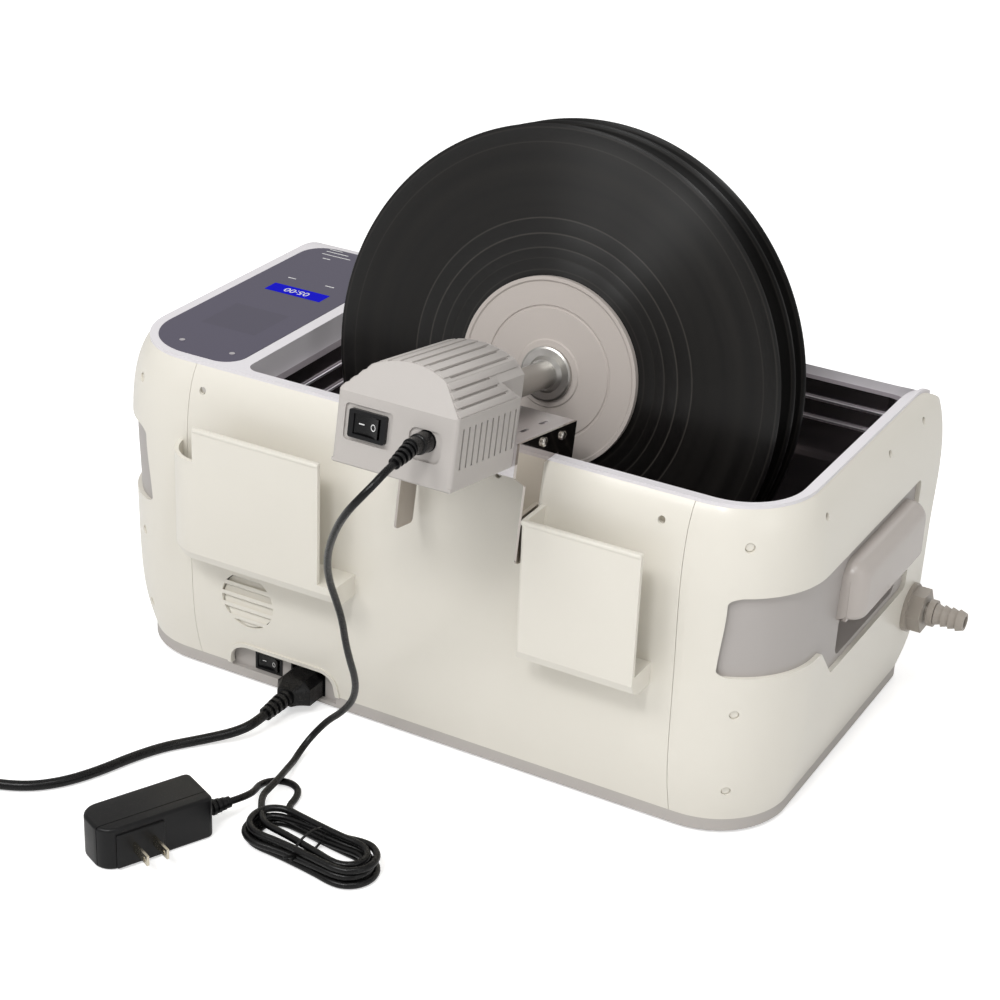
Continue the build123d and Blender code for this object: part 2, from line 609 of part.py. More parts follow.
def build_frame(filled) -> dict:
    """The top frame, the control film and window, the bath tank and its drain."""
    parts = {}
    plate = prism(case_outline(FRAME_INSET + 0.3), 150, REACH)
    frame = (plate & under_crown(0.0)) - under_crown(FRAME_T)
    skirt = prism(bath_outline(SKIRT_T) - bath_outline(0.0), LEDGE_Z, REACH) & under_crown(0.8)
    frame = frame + skirt - prism(bath_outline(0.0), 150, REACH)
    film_floor = (prism(film_outline(0.15), 150, REACH) - under_crown(FILM_T))
    frame = frame - film_floor
    wells = Part() + [rod("Z", (x, y, TOP_Z - 2.0), 1.9, 10) for x, y in PANEL_SCREWS]
    parts["top_frame"] = frame - wells
    film = (prism(film_outline(0.0), 150, REACH) & under_crown(-0.25)) - under_crown(FILM_T)
    window_cut = box(LCD[0], LCD[1], LCD[2], LCD[3], TOP_Z - 11, REACH)
    parts["control_film"] = film - window_cut - wells
    x0, x1, y0, y1 = LCD
    parts["display_window"] = box(x0 + 0.1, x1 - 0.1, y0 + 0.1, y1 - 0.1, TOP_Z - FILM_T, TOP_Z + 0.4)
    heads = [rod("Z", (x, y, TOP_Z - 1.98), 1.88, 2.5) for x, y in PANEL_SCREWS]
    parts["panel_screws"] = Part() + heads

    flange = bath_outline(LEDGE_OUT)
    upper = bath_outline(-LEDGE_IN)
    lower = bath_outline(-LEDGE_IN - TANK_STEP)
    outer = prism(upper, TANK_STEP_Z, LEDGE_Z) + prism(lower, TANK_FLOOR_Z - TANK_T, TANK_STEP_Z)
    low_edges = outer.faces().sort_by(Axis.Z)[0].edges()
    outer = fillet(low_edges, 12.0)
    upper_in = bath_outline(-LEDGE_IN - TANK_T)
    lower_in = bath_outline(-LEDGE_IN - TANK_STEP - TANK_T)
    inner = prism(upper_in, TANK_STEP_Z + TANK_T, LEDGE_Z + 5)
    well = prism(lower_in, TANK_FLOOR_Z, TANK_STEP_Z + 5)
    well = fillet(well.faces().sort_by(Axis.Z)[0].edges(), 11.0)
    tank = outer + prism(flange, LEDGE_Z - 1.2, LEDGE_Z) - inner - well
    tank = tank - rod("Z", (DRAIN_X, DRAIN_WELL_Y, TANK_FLOOR_Z - 5), DRAIN_BORE_R, 10)
    parts["tank"] = tank & under_crown(FRAME_T + 2.9)

    block_top = TANK_FLOOR_Z - TANK_T
    block = rod("Z", (DRAIN_X, DRAIN_WELL_Y, block_top - 18.0), 13.0, 18.0)
    arm_y = DRAIN_WELL_Y - DRAIN_Y
    block = block + box(DRAIN_X - 11, DRAIN_X + 11, DRAIN_Y - 8.0, DRAIN_WELL_Y, block_top - 17, block_top - 1.5)
    block = block - rod("Z", (DRAIN_X, DRAIN_WELL_Y, block_top - 13.0), DRAIN_BORE_R, 20)
    block = block - rod("Y", (DRAIN_X, DRAIN_Y, DRAIN_Z), 4.0, arm_y)
    pipe_x0 = -HALF_L - 12.0
    block = block + rod("X", (pipe_x0, DRAIN_Y, DRAIN_Z), DRAIN_PIPE_R, DRAIN_X - pipe_x0)
    parts["drain_elbow"] = block - rod("X", (pipe_x0 - 1, DRAIN_Y, DRAIN_Z), 4.0, DRAIN_X - pipe_x0 + 1)
    wall_x = -HALF_L + 2.6
    hexagon = extrude(Plane.YZ * RegularPolygon(15.0, 6, major_radius=True), amount=9.0)
    collar = rod("X", (-3.2, 0, 0), 16.5, 3.2)
    nut = Pos(wall_x - 12.2, 0, 0) * hexagon + Pos(wall_x, 0, 0) * collar
    nut = Pos(0, DRAIN_Y, DRAIN_Z) * nut - filled
    parts["drain_nut"] = nut - rod("X", (-HALF_L - 27, DRAIN_Y, DRAIN_Z), DRAIN_PIPE_R + 0.02, 60)
    parts["hose_barb"] = hose_barb(pipe_x0)
    return parts


def hose_barb(seat_x: float) -> Part:
    """The hose barb screwed over the end of the drain pipe."""
    ridge = (seat_x - BARB_TIP_X) / 5.0
    points = [(0, 4.0), (0, 9.0), (4.0, 9.0), (4.0, 6.2)]
    start = 4.0
    step = (seat_x - BARB_TIP_X - start) / 4.0
    for index in range(4):
        points.append((start + step * index + 0.4, 7.4))
        points.append((start + step * (index + 1), 5.8))
    points.append((seat_x - BARB_TIP_X, 4.0))
    outline = Polyline(*[(seat_x - along, radius) for along, radius in points], close=True)
    barb = revolve(make_face(outline), Axis.X, 360)
    return Pos(0, DRAIN_Y, DRAIN_Z) * barb


def build_base() -> dict:
    """The base tray, feet, sockets and the electrical pieces that stand in the tray."""
    parts = {}
    wall = 2.6
    tray = prism(case_outline(BASE_INSET), BASE_Z0, BASE_TOP)
    spigot_inset = BASE_INSET + WALL + 0.35
    tray = tray + prism(case_outline(spigot_inset), BASE_TOP, BASE_TOP + 5.0)
    tray = tray - prism(case_outline(spigot_inset + wall), BASE_Z0 + BASE_T, BASE_TOP + 9)
    bottom = tray.faces().sort_by(Axis.Z)[0].edges()
    tray = chamfer(bottom, 1.2)
    upstand_y0 = ARCH_FACE_Y - wall
    tray = tray - box(ARCH_X0 - 3, ARCH_X1 + 3, upstand_y0 - 19, upstand_y0, BASE_Z0 + BASE_T, 40)
    tray = tray + box(ARCH_X0 - 3, ARCH_X1 + 3, upstand_y0, ARCH_FACE_Y, BASE_Z0 + BASE_T, 34)
    tray = tray - box(ARCH_X0, ARCH_STEP_X, ARCH_FACE_Y, HALF_D - 6.4, 5.0, 40)
    tray = tray - box(ARCH_STEP_X, ARCH_X1, ARCH_FACE_Y, HALF_D - 6.4, 9.0, 40)
    inlet_cut = box(INLET_X - INLET_W / 2, INLET_X + INLET_W / 2, HALF_D - 40, HALF_D,
                    INLET_Z - INLET_H / 2, INLET_Z + INLET_H / 2)
    rocker_cut = box(ROCKER_X - ROCKER_W / 2, ROCKER_X + ROCKER_W / 2, HALF_D - 40, HALF_D,
                     ROCKER_Z - ROCKER_H / 2, ROCKER_Z + ROCKER_H / 2)
    tray = tray - inlet_cut - rocker_cut
    for x, y in FEET:
        tray = tray - rod("Z", (x, y, 0), 3.0, 10)
    slots = [Pos(x, -40, 0) * Box(4, 46, 20) for x in range(-60, 61, 12)]
    parts["base_tray"] = tray - (Part() + slots)
    feet = []
    for x, y in FEET:
        foot = rod("Z", (x, y, 0), 10.0, BASE_Z0) + rod("Z", (x, y, BASE_Z0), 2.98, BASE_T)
        feet.append(foot)
    parts["rubber_feet"] = Part() + feet
    parts.update(build_sockets(upstand_y0))
    parts.update(build_inside())
    return parts


def build_sockets(upstand_y0: float) -> dict:
    """The appliance inlet and the mains rocker with its frame."""
    parts = {}
    clear = 0.1
    half_w = INLET_W / 2 - clear
    half_h = INLET_H / 2 - clear
    body = box(INLET_X - half_w, INLET_X + half_w, upstand_y0 - 16, ARCH_FACE_Y,
               INLET_Z - half_h, INLET_Z + half_h)
    cavity_y0 = ARCH_FACE_Y - 14.0
    cavity = box(INLET_X - CONNECTOR_W / 2 - 0.3, INLET_X + CONNECTOR_W / 2 + 0.3, cavity_y0, HALF_D,
                 INLET_Z - CONNECTOR_H / 2 - 0.3, INLET_Z + CONNECTOR_H / 2 + 0.3)
    pins = [box(INLET_X + dx - 1, INLET_X + dx + 1, cavity_y0 - 1, cavity_y0 + 11, INLET_Z + dz - 2, INLET_Z + dz + 2)
            for dx, dz in ((-7, -1.5), (0, 2.5), (7, -1.5))]
    parts["appliance_inlet"] = (body - cavity) + pins
    frame = box(ROCKER_X - ROCKER_W / 2 + clear, ROCKER_X + ROCKER_W / 2 - clear, upstand_y0 - 12,
                ARCH_FACE_Y + 0.8, ROCKER_Z - ROCKER_H / 2 + clear, ROCKER_Z + ROCKER_H / 2 - clear)
    well = box(ROCKER_X - 8.8, ROCKER_X + 8.8, ARCH_FACE_Y - 9.0, HALF_D, ROCKER_Z - 4.9, ROCKER_Z + 4.9)
    pivot_y = ARCH_FACE_Y - 2.6
    pivot_bore = rod("Z", (ROCKER_X, pivot_y, ROCKER_Z - 6.0), 1.0 + 0.04, 12.0)
    parts["mains_rocker_frame"] = frame - well - pivot_bore
    parts["mains_rocker"] = Pos(ROCKER_X, pivot_y, ROCKER_Z) * rocker_cap(8.3, 4.5, 5.9)
    return parts


def rocker_cap(half_w: float, half_h: float, pin_reach: float) -> Part:
    """A rocker with a dished face, drawn about its pivot along Z and set to one stop."""
    rise = 3.6
    dish = ThreePointArc((half_w, rise), (0, rise - 1.7), (-half_w, rise))
    sides = Polyline((-half_w, rise), (-half_w * 0.8, -1.0), (0, -3.0), (half_w * 0.8, -1.0), (half_w, rise))
    face = make_face(Curve() + [dish, sides])
    cap = Pos(0, 0, -half_h) * extrude(face, amount=2 * half_h)
    cap = cap + rod("Z", (0, 0, -pin_reach), 1.0, 2 * pin_reach)
    return Rot(0, 0, -ROCKER_THROW) * cap


TRANSDUCERS.append(((BATH_X0 + BATH_X1) / 2 - 1.425, 0.0))


def build_inside() -> dict:
    """Fan, transducers, heater pad and the two circuit boards."""
    parts = {}
    cx, cz = FAN_C
    frame = facing_rear(Pos(cx, cz) * (RectangleRounded(40, 40, 3) - Circle(18.4)), FAN_Y0, FAN_Y1)
    spider = box(cx - 18.6, cx + 18.6, FAN_Y0, FAN_Y0 + 1.6, cz - 1.5, cz + 1.5)
    spider = spider + rod("Y", (cx, FAN_Y0, cz), 7.0, 1.6) + rod("Y", (cx, FAN_Y0 + 1.6, cz), 1.5, 7.4)
    parts["fan_frame"] = frame + spider
    rotor = rod("Y", (cx, FAN_Y0 + 2.1, cz), 7.5, 7.2)
    for blade in range(7):
        vane = Pos(12.4, 0, 0) * Rot(38, 0, 0) * Box(11.4, 1.0, 6.6)
        rotor = rotor + Pos(cx, FAN_Y0 + 5.7, cz) * Rot(0, blade * 360 / 7, 0) * vane
    parts["fan_rotor"] = rotor - rod("Y", (cx, FAN_Y0, cz), 1.5 + BORE_FIT, 7.0 + 2.05)

    bottom = TANK_FLOOR_Z - TANK_T
    stacks = []
    for x, y in TRANSDUCERS:
        outline = Polyline((0, bottom), (22.5, bottom), (19.0, bottom - 22.0), (15.0, bottom - 24.0),
                           (17.5, bottom - 24.0), (17.5, bottom - 36.0), (15.0, bottom - 36.0),
                           (15.0, bottom - 48.0), (0, bottom - 48.0), close=True)
        stack = revolve(Plane.XZ * make_face(outline), Axis.Z, 360)
        stacks.append(Pos(x, y, 0) * stack)
    parts["transducers"] = Part() + stacks
    pad = box(-30, 30, HALF_D - 72.4, HALF_D - 40.4, bottom - 2.0, bottom)
    parts["heater_pad"] = pad
    floor = BASE_Z0 + BASE_T
    board = box(*BOARD, floor + 8, floor + 9.6)
    x0, x1, y0, y1 = BOARD
    posts = [rod("Z", (x, y, floor), 3.0, 8.0) for x in (x0 + 5, x1 - 5) for y in (y0 + 5, y1 - 5)]
    cores = [rod("Z", ((x0 + x1) / 2, y0 + 40, floor + 9.6), 16, 22),
             box(x0 + 10, x1 - 10, y1 - 45, y1 - 20, floor + 9.6, floor + 34.6)]
    generator = board + posts + cores
    cap_z = TOP_Z - FRAME_T - 2.6
    panel = box(x1 - 30, x1 + 16, -60, 60, cap_z - 7.6, cap_z - 6)
    spacers = [rod("Z", (x, y, cap_z - 6), 3.0, 6.0) for x in (x1 - 24, x1 + 10) for y in (-54, 54)]
    parts["circuit_boards"] = Part() + [generator, panel + spacers]
    return parts


# ---------------------------------------------------------------- spindle drive, drawn about the spindle


def crown_section(inset: float) -> Sketch:
    """The cross-section of the housing above its crease, drawn as X and Z."""
    half = BOX_HALF - inset
    shoulder_u = CROWN_SHOULDER[0] - inset * 0.45
    shoulder_w = CROWN_SHOULDER[1] - inset
    slopes = Polyline((-shoulder_u, shoulder_w), (-half, BOX_CREASE_W), (-half, 0), (half, 0),
                      (half, BOX_CREASE_W), (shoulder_u, shoulder_w))
    arch = ThreePointArc((-shoulder_u, shoulder_w), (0, CROWN_TOP_W - inset), (shoulder_u, shoulder_w))
    return make_face(Curve() + [slopes, arch])


def along_spindle(sketch: Sketch, v0: float, v1: float) -> Part:
    """An outline drawn as X and Z, raised along the spindle."""
    return Pos(0, v1, 0) * Rot(90, 0, 0) * extrude(sketch, amount=v1 - v0)


def housing_body(inset: float) -> Part:
    """The outer form of the drive housing, moved inwards."""
    v0 = BOX_V0 + inset
    v1 = BOX_V1 - inset
    half = BOX_HALF - inset
    low = BOX_FLOOR_W + BOX_PLATE_T
    block = box(-half, half, v0, v1, low, 1.0)
    body = block + along_spindle(crown_section(inset), v0, v1)
    nose = along_spindle(crown_section(inset), NOSE_V0 + inset, v0 + 20)
    nose = nose + box(-half, half, NOSE_V0 + inset, v0 + 20, PLATE_W + inset, 1.0)
    nose = nose & box(-NOSE_HALF + inset, NOSE_HALF - inset, 0, 300, -100, 100)
    slope = Polyline((BOX_V1 + 5, BOX_CREASE_W - inset), (BOX_V1 - inset, BOX_CREASE_W - inset),
                     (CROWN_SLOPE_V - inset, CROWN_TOP_W + 2), (BOX_V1 + 5, CROWN_TOP_W + 2), close=True)
    cutter = Pos(-60, 0, 0) * Plane.YZ.location * extrude(make_face(slope), amount=120)
    step = Polyline((BOX_V0 - 1, BOX_CREASE_W - inset), (BOX_V0 + inset, BOX_CREASE_W - inset),
                    (NOSE_STEP_V + inset, CROWN_TOP_W - 6), (NOSE_STEP_V + inset, 60), (BOX_V0 - 1, 60), close=True)
    notch = Pos(-60, 0, 0) * Plane.YZ.location * extrude(make_face(step), amount=120)
    notch = notch - box(-NOSE_HALF + inset, NOSE_HALF - inset, 0, 300, -100, 100)
    return (body - notch) + nose - cutter


def crown_grooves() -> Part:
    """The grooves that run along the top and the upper slopes."""
    grooves = []
    arch_half = CROWN_SHOULDER[0]
    rise = CROWN_TOP_W - CROWN_SHOULDER[1]
    radius = (arch_half**2 + rise**2) / (2 * rise)
    for step in range(-3, 4):
        angle = step * 7.6
        centre = Pos(0, (NOSE_V0 + CROWN_SLOPE_V) / 2 + 1, CROWN_TOP_W - radius)
        length = CROWN_SLOPE_V - NOSE_V0 - 10
        grooves.append(centre * Rot(0, angle, 0) * Pos(0, 0, radius) * Box(1.3, length, 1.6))
    slope_u = BOX_HALF - CROWN_SHOULDER[0]
    slope_w = CROWN_SHOULDER[1] - BOX_CREASE_W
    tilt = math.degrees(math.atan2(slope_w, slope_u))
    for side in (-1, 1):
        for share in (0.25, 0.5, 0.75):
            u = side * (BOX_HALF - slope_u * share)
            w = BOX_CREASE_W + slope_w * share
            v0 = BOX_V0 + 8 + 14 * share
            v1 = BOX_V1 - 6 - 10 * share
            bar = Pos(u, (v0 + v1) / 2, w) * Rot(0, side * tilt, 0) * Box(1.0, v1 - v0, 1.6)
            grooves.append(bar)
    return Part() + grooves


def drive_housing() -> Part:
    """The moulded cover of the drive with its grooves, side slots and rear recesses."""
    shell = housing_body(0.0)
    upright = shell.edges().filter_by(Axis.Z).filter_by(
        lambda e: e.center().Y > BOX_V1 - 0.1 and abs(e.center().X) > BOX_HALF - 0.1)
    shell = fillet(upright, 2.5)
    low = BOX_FLOOR_W + BOX_PLATE_T
    shell = shell - housing_body(BOX_WALL)
    shell = shell - box(-BOX_HALF + BOX_WALL, BOX_HALF - BOX_WALL, BOX_V0 + BOX_WALL,
                        BOX_V1 - BOX_WALL, low - 1, 0)
    shell = shell - crown_grooves()
    pitch = (SLOT_V[1] - SLOT_V[0]) / (SLOT_COUNT - 1)
    slots = []
    for side in (-1, 1):
        for index in range(SLOT_COUNT):
            slots.append(Pos(side * BOX_HALF, SLOT_V[0] + pitch * index, -3.6) * Box(8, 1.8, 23.4))
    shell = shell - slots
    shell = shell - rod("Y", (0, NOSE_V0 - 15, 0), BEARING_R, 40)
    rear = BOX_V1 - 1.2
    switch_recess = Pos(*SWITCH_C) * RectangleRounded(30.6, 21.0, 2.5)
    jack_recess = Pos(JACK_U, JACK_W - 2.4) * RectangleRounded(20.6, 18.0, 4.5)
    shell = shell - along_spindle(switch_recess, rear, BOX_V1 + 5)
    shell = shell - along_spindle(jack_recess, rear, BOX_V1 + 5)
    hole = Pos(*SWITCH_C) * Rectangle(2 * SWITCH_HALF[0] - 1.0, 2 * SWITCH_HALF[1] - 1.0)
    shell = shell - along_spindle(hole, BOX_V1 - 8, BOX_V1 + 5)
    return shell - rod("Y", (JACK_U, BOX_V1 - 8, JACK_W), JACK_R, 20)


def build_drive() -> dict:
    """The drive housing, bracket, motor, spindle and records, each at rest in its place."""
    parts = {}
    parts["drive_housing"] = drive_housing()
    plate = box(-BOX_HALF, BOX_HALF, BOX_V0, BOX_V1, BOX_FLOOR_W, BOX_FLOOR_W + BOX_PLATE_T)
    plate = chamfer(plate.faces().sort_by(Axis.Z)[0].edges(), 1.0)
    parts["drive_base_plate"] = plate + motor_cradle()
    parts["spindle_bearing"] = spindle_bearing()
    parts.update(build_motor())
    parts.update(build_bracket())
    parts.update(build_spindle())
    parts.update(build_drive_sockets())
    return {node: PLACE * shape for node, shape in parts.items()}


def spindle_bearing() -> Part:
    """The flanged bush that carries the spindle in the nose of the housing."""
    flange = rod("Y", (0, NOSE_V0 - 1.6, 0), BEARING_R + 1.6, 1.6) - box(-20, 20, 0, REACH, -30, PLATE_W + 0.02)
    bush = rod("Y", (0, NOSE_V0, 0), BEARING_R - 0.02, 11.0) + flange
    return bush - rod("Y", (0, NOSE_V0 - 15, 0), SHAFT_R + BORE_FIT, 50)


def build_motor() -> dict:
    """The gear motor, its output shaft and the coupling to the spindle."""
    v0, v1, v2 = MOTOR_V
    body = rod("Y", (0, v0, 0), 18.0, v1 - v0) + rod("Y", (0, v1, 0), 13.5, v2 - v1)
    body = body - rod("Y", (0, v0 - 1, 0), 3.0 + BORE_FIT, 13.0)
    output = rod("Y", (0, SHAFT_END - 9.5, 0), 3.0, v0 + 11.0 - (SHAFT_END - 9.5))
    coupling = rod("Y", (0, SHAFT_END - 14.0, 0), SHAFT_R + 2.6, 13.5)
    coupling = coupling - rod("Y", (0, SHAFT_END - 15.0, 0), SHAFT_R, 5.5)
    coupling = coupling - rod("Y", (0, SHAFT_END - 10.0, 0), 3.0, 20)
    return {"gear_motor": body, "motor_output_shaft": output, "shaft_coupling": coupling}


def motor_cradle() -> Part:
    """The saddle moulded on the base plate under the gearbox."""
    v0, v1, _ = MOTOR_V
    floor = BOX_FLOOR_W + BOX_PLATE_T - 0.5
    return box(-22, 22, v0 + 3, v1 - 3, floor, -6.0) - rod("Y", (0, v0, 0), 18.0, v1 - v0)


def side_profile() -> Sketch:
    """A bracket side, drawn as Y and Z: hook inside the rim, notch over it, leg outside."""
    sin_p = math.sin(math.radians(PITCH))
    cos_p = math.cos(math.radians(PITCH))
    drop = TOP_Z + 0.05 - SPINDLE_C[2]

    def rim_line(v: float) -> float:
        return (drop - v * sin_p) / cos_p

    hook_v = 61.0
    outline = Polyline(
        (PLATE_V0, PLATE_W), (BOX_V0 - 0.2, PLATE_W), (BOX_V0 - 0.2, -33.0), (LEG_V1, -41.0),
        (LEG_V1 - 0.5, LEG_W), (LEG_V0 + 0.5, LEG_W), (LEG_V0, rim_line(LEG_V0)),
        (hook_v, rim_line(hook_v)), (hook_v, -42.0), (PLATE_V0, -42.0), close=True)
    face = make_face(outline)
    tips = [v for v in face.vertices() if v.Y < -41.5]
    return fillet(tips, 3.0)


def build_bracket() -> dict:
    """The folded top plate, the two polished sides and the screws that join them."""
    half = SIDE_U - 0.02
    tilt_flange = BOX_V0 - 0.2
    plate = box(-half, half, PLATE_V0, tilt_flange, PLATE_W - PLATE_T, PLATE_W)
    plate = plate + box(-half, half, tilt_flange - PLATE_T, tilt_flange, -33.0, PLATE_W)
    plate = plate + box(-half, half, PLATE_V0, PLATE_V0 + PLATE_T, -32.0, PLATE_W)
    for side in (-1, 1):
        tab = sorted((side * half, side * (half - PLATE_T)))
        plate = plate + box(*tab, 52, 92, -23.0, PLATE_W)
    slots = [Pos(side * 30, v, PLATE_W) * Box(2.4, 9, 6) for side in (-1, 1) for v in (62, 86)]
    slots = slots + [Pos(0, 55, PLATE_W) * Box(8, 2.4, 6)]
    plate = plate - slots
    parts = {}
    holes = []
    screws = []
    for side in (-1, 1):
        for v, w in SCREW_SPOTS:
            start = SIDE_U - 3.5 if side > 0 else -SIDE_U - 10.0
            holes.append(rod("X", (start, v, w), 1.5, 13.5))
            shank = rod("X", (SIDE_U - 3.4 if side > 0 else -SIDE_U - SIDE_T - 0.1, v, w), 1.48, 5.0)
            head_x = SIDE_U + SIDE_T + 0.02 if side > 0 else -SIDE_U - SIDE_T - 2.02
            head = rod("X", (head_x, v, w), 2.9, 2.0)
            rim = head.faces().sort_by(Axis.X)[-1 if side > 0 else 0].edges()
            screws.append(shank + fillet(rim, 1.2))
    parts["bracket_plate"] = plate - holes
    outline = Plane.YZ.location * extrude(side_profile(), amount=SIDE_T)
    right = Pos(SIDE_U, 0, 0) * outline
    left = Pos(-SIDE_U - SIDE_T, 0, 0) * outline
    parts["bracket_sides"] = Part() + [right - holes, left - holes]
    parts["bracket_screws"] = Part() + screws
    return parts


def disc(profile: list, v: float, flip: bool = False) -> Part:
    """A turned disc about the spindle from radius and depth pairs, with its face at v."""
    points = [(radius, -depth if flip else depth) for radius, depth in profile]
    return Pos(0, v, 0) * revolve(make_face(Polyline(*points, close=True)), Axis.Y, 360)


def protector(v: float, flip: bool) -> Part:
    """A label protector: flat towards the record, with rim, groove and hub on the other side."""
    t = PROTECTOR_T
    profile = [
        (CORE_R, 0), (PROTECTOR_R, 0), (PROTECTOR_R, t), (PROTECTOR_R - 2.2, t),
        (PROTECTOR_R - 3.2, t - 0.9), (42.2, t - 0.9), (41.6, t - 1.6), (40.8, t - 1.6),
        (40.2, t - 0.9), (21.4, t - 0.9), (20.6, t), (CORE_R, t)]
    return disc(profile, v, flip)


def build_spindle() -> dict:
    """Spindle, flange, three records with label protectors, spacers and the clamp nut."""
    front, middle, back = RECORD_FRONTS
    t = PROTECTOR_T
    half = RECORD_T / 2
    record_profile = [
        (CORE_R + CORE_FIT, half), (50, half), (52, half - 0.2), (146.5, half - 0.2), (148.5, half),
        (RECORD_R, 0), (148.5, -half), (146.5, -half + 0.2), (52, -half + 0.2), (50, -half),
        (CORE_R + CORE_FIT, -half)]
    parts = {}
    for name, v in (("record_outer", front), ("record_middle", middle), ("record_inner", back)):
        parts[name] = disc(record_profile, v - half)
    faces = []
    for v in RECORD_FRONTS:
        faces.append(protector(v, False))
        faces.append(protector(v - RECORD_T, True))
    parts["label_protectors"] = Part() + faces
    spacers = []
    for near, far in ((front, middle), (middle, back)):
        v1 = near - RECORD_T - t
        v0 = far + t
        spacers.append(ring_along("Y", (0, v0, 0), 11.0, CORE_R + CORE_FIT, v1 - v0))
    parts["spacer_tubes"] = Part() + spacers
    flange_v = front + t
    shaft = rod("Y", (0, flange_v, 0), SHAFT_R, SHAFT_END - 10.0 - flange_v)
    nut_v = back - RECORD_T - t
    core = rod("Y", (0, nut_v - NUT_T - 3, 0), CORE_R, flange_v - nut_v + NUT_T + 3.5)
    flange_profile = [(0, 0), (17.0, 0), (17.0, 2.2), (15.8, 2.8), (11.5, 2.8), (9.6, 5.6), (0, 5.6)]
    parts["spindle_shaft"] = shaft + core + disc(flange_profile, flange_v)
    grip = Circle(15.0)
    for index in range(12):
        grip = grip - Rot(0, 0, index * 30) * Pos(16.4, 0) * Circle(3.0)
    nut = along_spindle(grip, nut_v - NUT_T, nut_v - 2.0) + rod("Y", (0, nut_v - 2.01, 0), 10.0, 2.01)
    parts["clamp_nut"] = nut - rod("Y", (0, nut_v - NUT_T - 5, 0), CORE_R + CORE_FIT, 30)
    return parts


def build_drive_sockets() -> dict:
    """The drive rocker with its frame, and the power jack."""
    parts = {}
    cu, cw = SWITCH_C
    hu, hw = SWITCH_HALF
    rear = BOX_V1 - 1.2
    flange = along_spindle(Pos(cu, cw) * RectangleRounded(2 * hu, 2 * hw, 1.5), rear, rear + 2.6)
    body = along_spindle(Pos(cu, cw) * Rectangle(2 * hu - 1.2, 2 * hw - 1.2), rear - 13.0, rear + 0.1)
    well = along_spindle(Pos(cu, cw) * Rectangle(17.2, 11.8), rear - 9.0, rear + 6)
    pivot_v = rear - 1.2
    bore = rod("Z", (cu, pivot_v, cw - 7.0), 1.04, 14.0)
    parts["drive_rocker_frame"] = (flange + body) - well - bore
    parts["drive_rocker"] = Pos(cu, pivot_v, cw) * rocker_cap(8.2, 5.6, 6.8)
    jack = ring_along("Y", (JACK_U, BOX_V1 - 13.0, JACK_W), JACK_R - 0.02, 2.9, 12.4)
    jack = jack + rod("Y", (JACK_U, BOX_V1 - 14.5, JACK_W), JACK_R - 0.02, 1.6)
    parts["dc_jack"] = jack + rod("Y", (JACK_U, BOX_V1 - 13.5, JACK_W), 0.9, 8.0)
    return parts


# ---------------------------------------------------------------- leads


def cord_tube(route: tuple, diameter: float, label: str) -> Part:
    """A round cord along straight runs joined by tangent arcs, each as large as its runs allow."""
    points = [Vector(*point) for point in route]
    runs = [(b - a).length for a, b in zip(points, points[1:])]
    radii = []
    for index in range(1, len(points) - 1):
        turn = (points[index] - points[index - 1]).get_angle(points[index + 1] - points[index])
        shorter = min(runs[index - 1], runs[index])
        radii.append(0.45 * shorter / math.tan(math.radians(turn / 2)))
    path = FilletPolyline(*points, radius=radii)
    start = Plane(origin=points[0], z_dir=points[1] - points[0])
    tube = sweep(start * Circle(diameter / 2), path=path)
    expected = math.pi * diameter**2 / 4 * path.length
    tightest = min(radii)
    print(f"{label}: {path.length:.0f} mm, tightest radius {tightest:.1f} ({tightest / diameter:.1f} diameters), "
          f"volume {tube.volume:.0f} of {expected:.0f}, runs {min(runs):.0f} to {max(runs):.0f}")
    print("   radii", " ".join(f"{radius:.0f}" for radius in radii))
    return tube


def round_boot(start: Vector, end: Vector, radii: tuple) -> Part:
    """A ribbed strain relief turned between two points, from a thick to a thin end."""
    length = (end - start).length
    thick, thin = radii
    points = [(0.0, 0.0), (thick, 0.0), (thick, length * 0.14)]
    rib = length * 0.86 / 4
    for index in range(4):
        radius = thick + (thin - thick) * (index + 1) / 4
        z = length * 0.14 + rib * index
        points = points + [(radius - 0.7, z), (radius - 0.7, z + rib * 0.45), (radius + 0.4, z + rib * 0.45),
                           (radius + 0.4, z + rib)]
    points.append((0.0, length))
    boot = revolve(Plane.XZ * make_face(Polyline(*points, close=True)), Axis.Z, 360)
    return Plane(origin=start, z_dir=end - start).location * boot


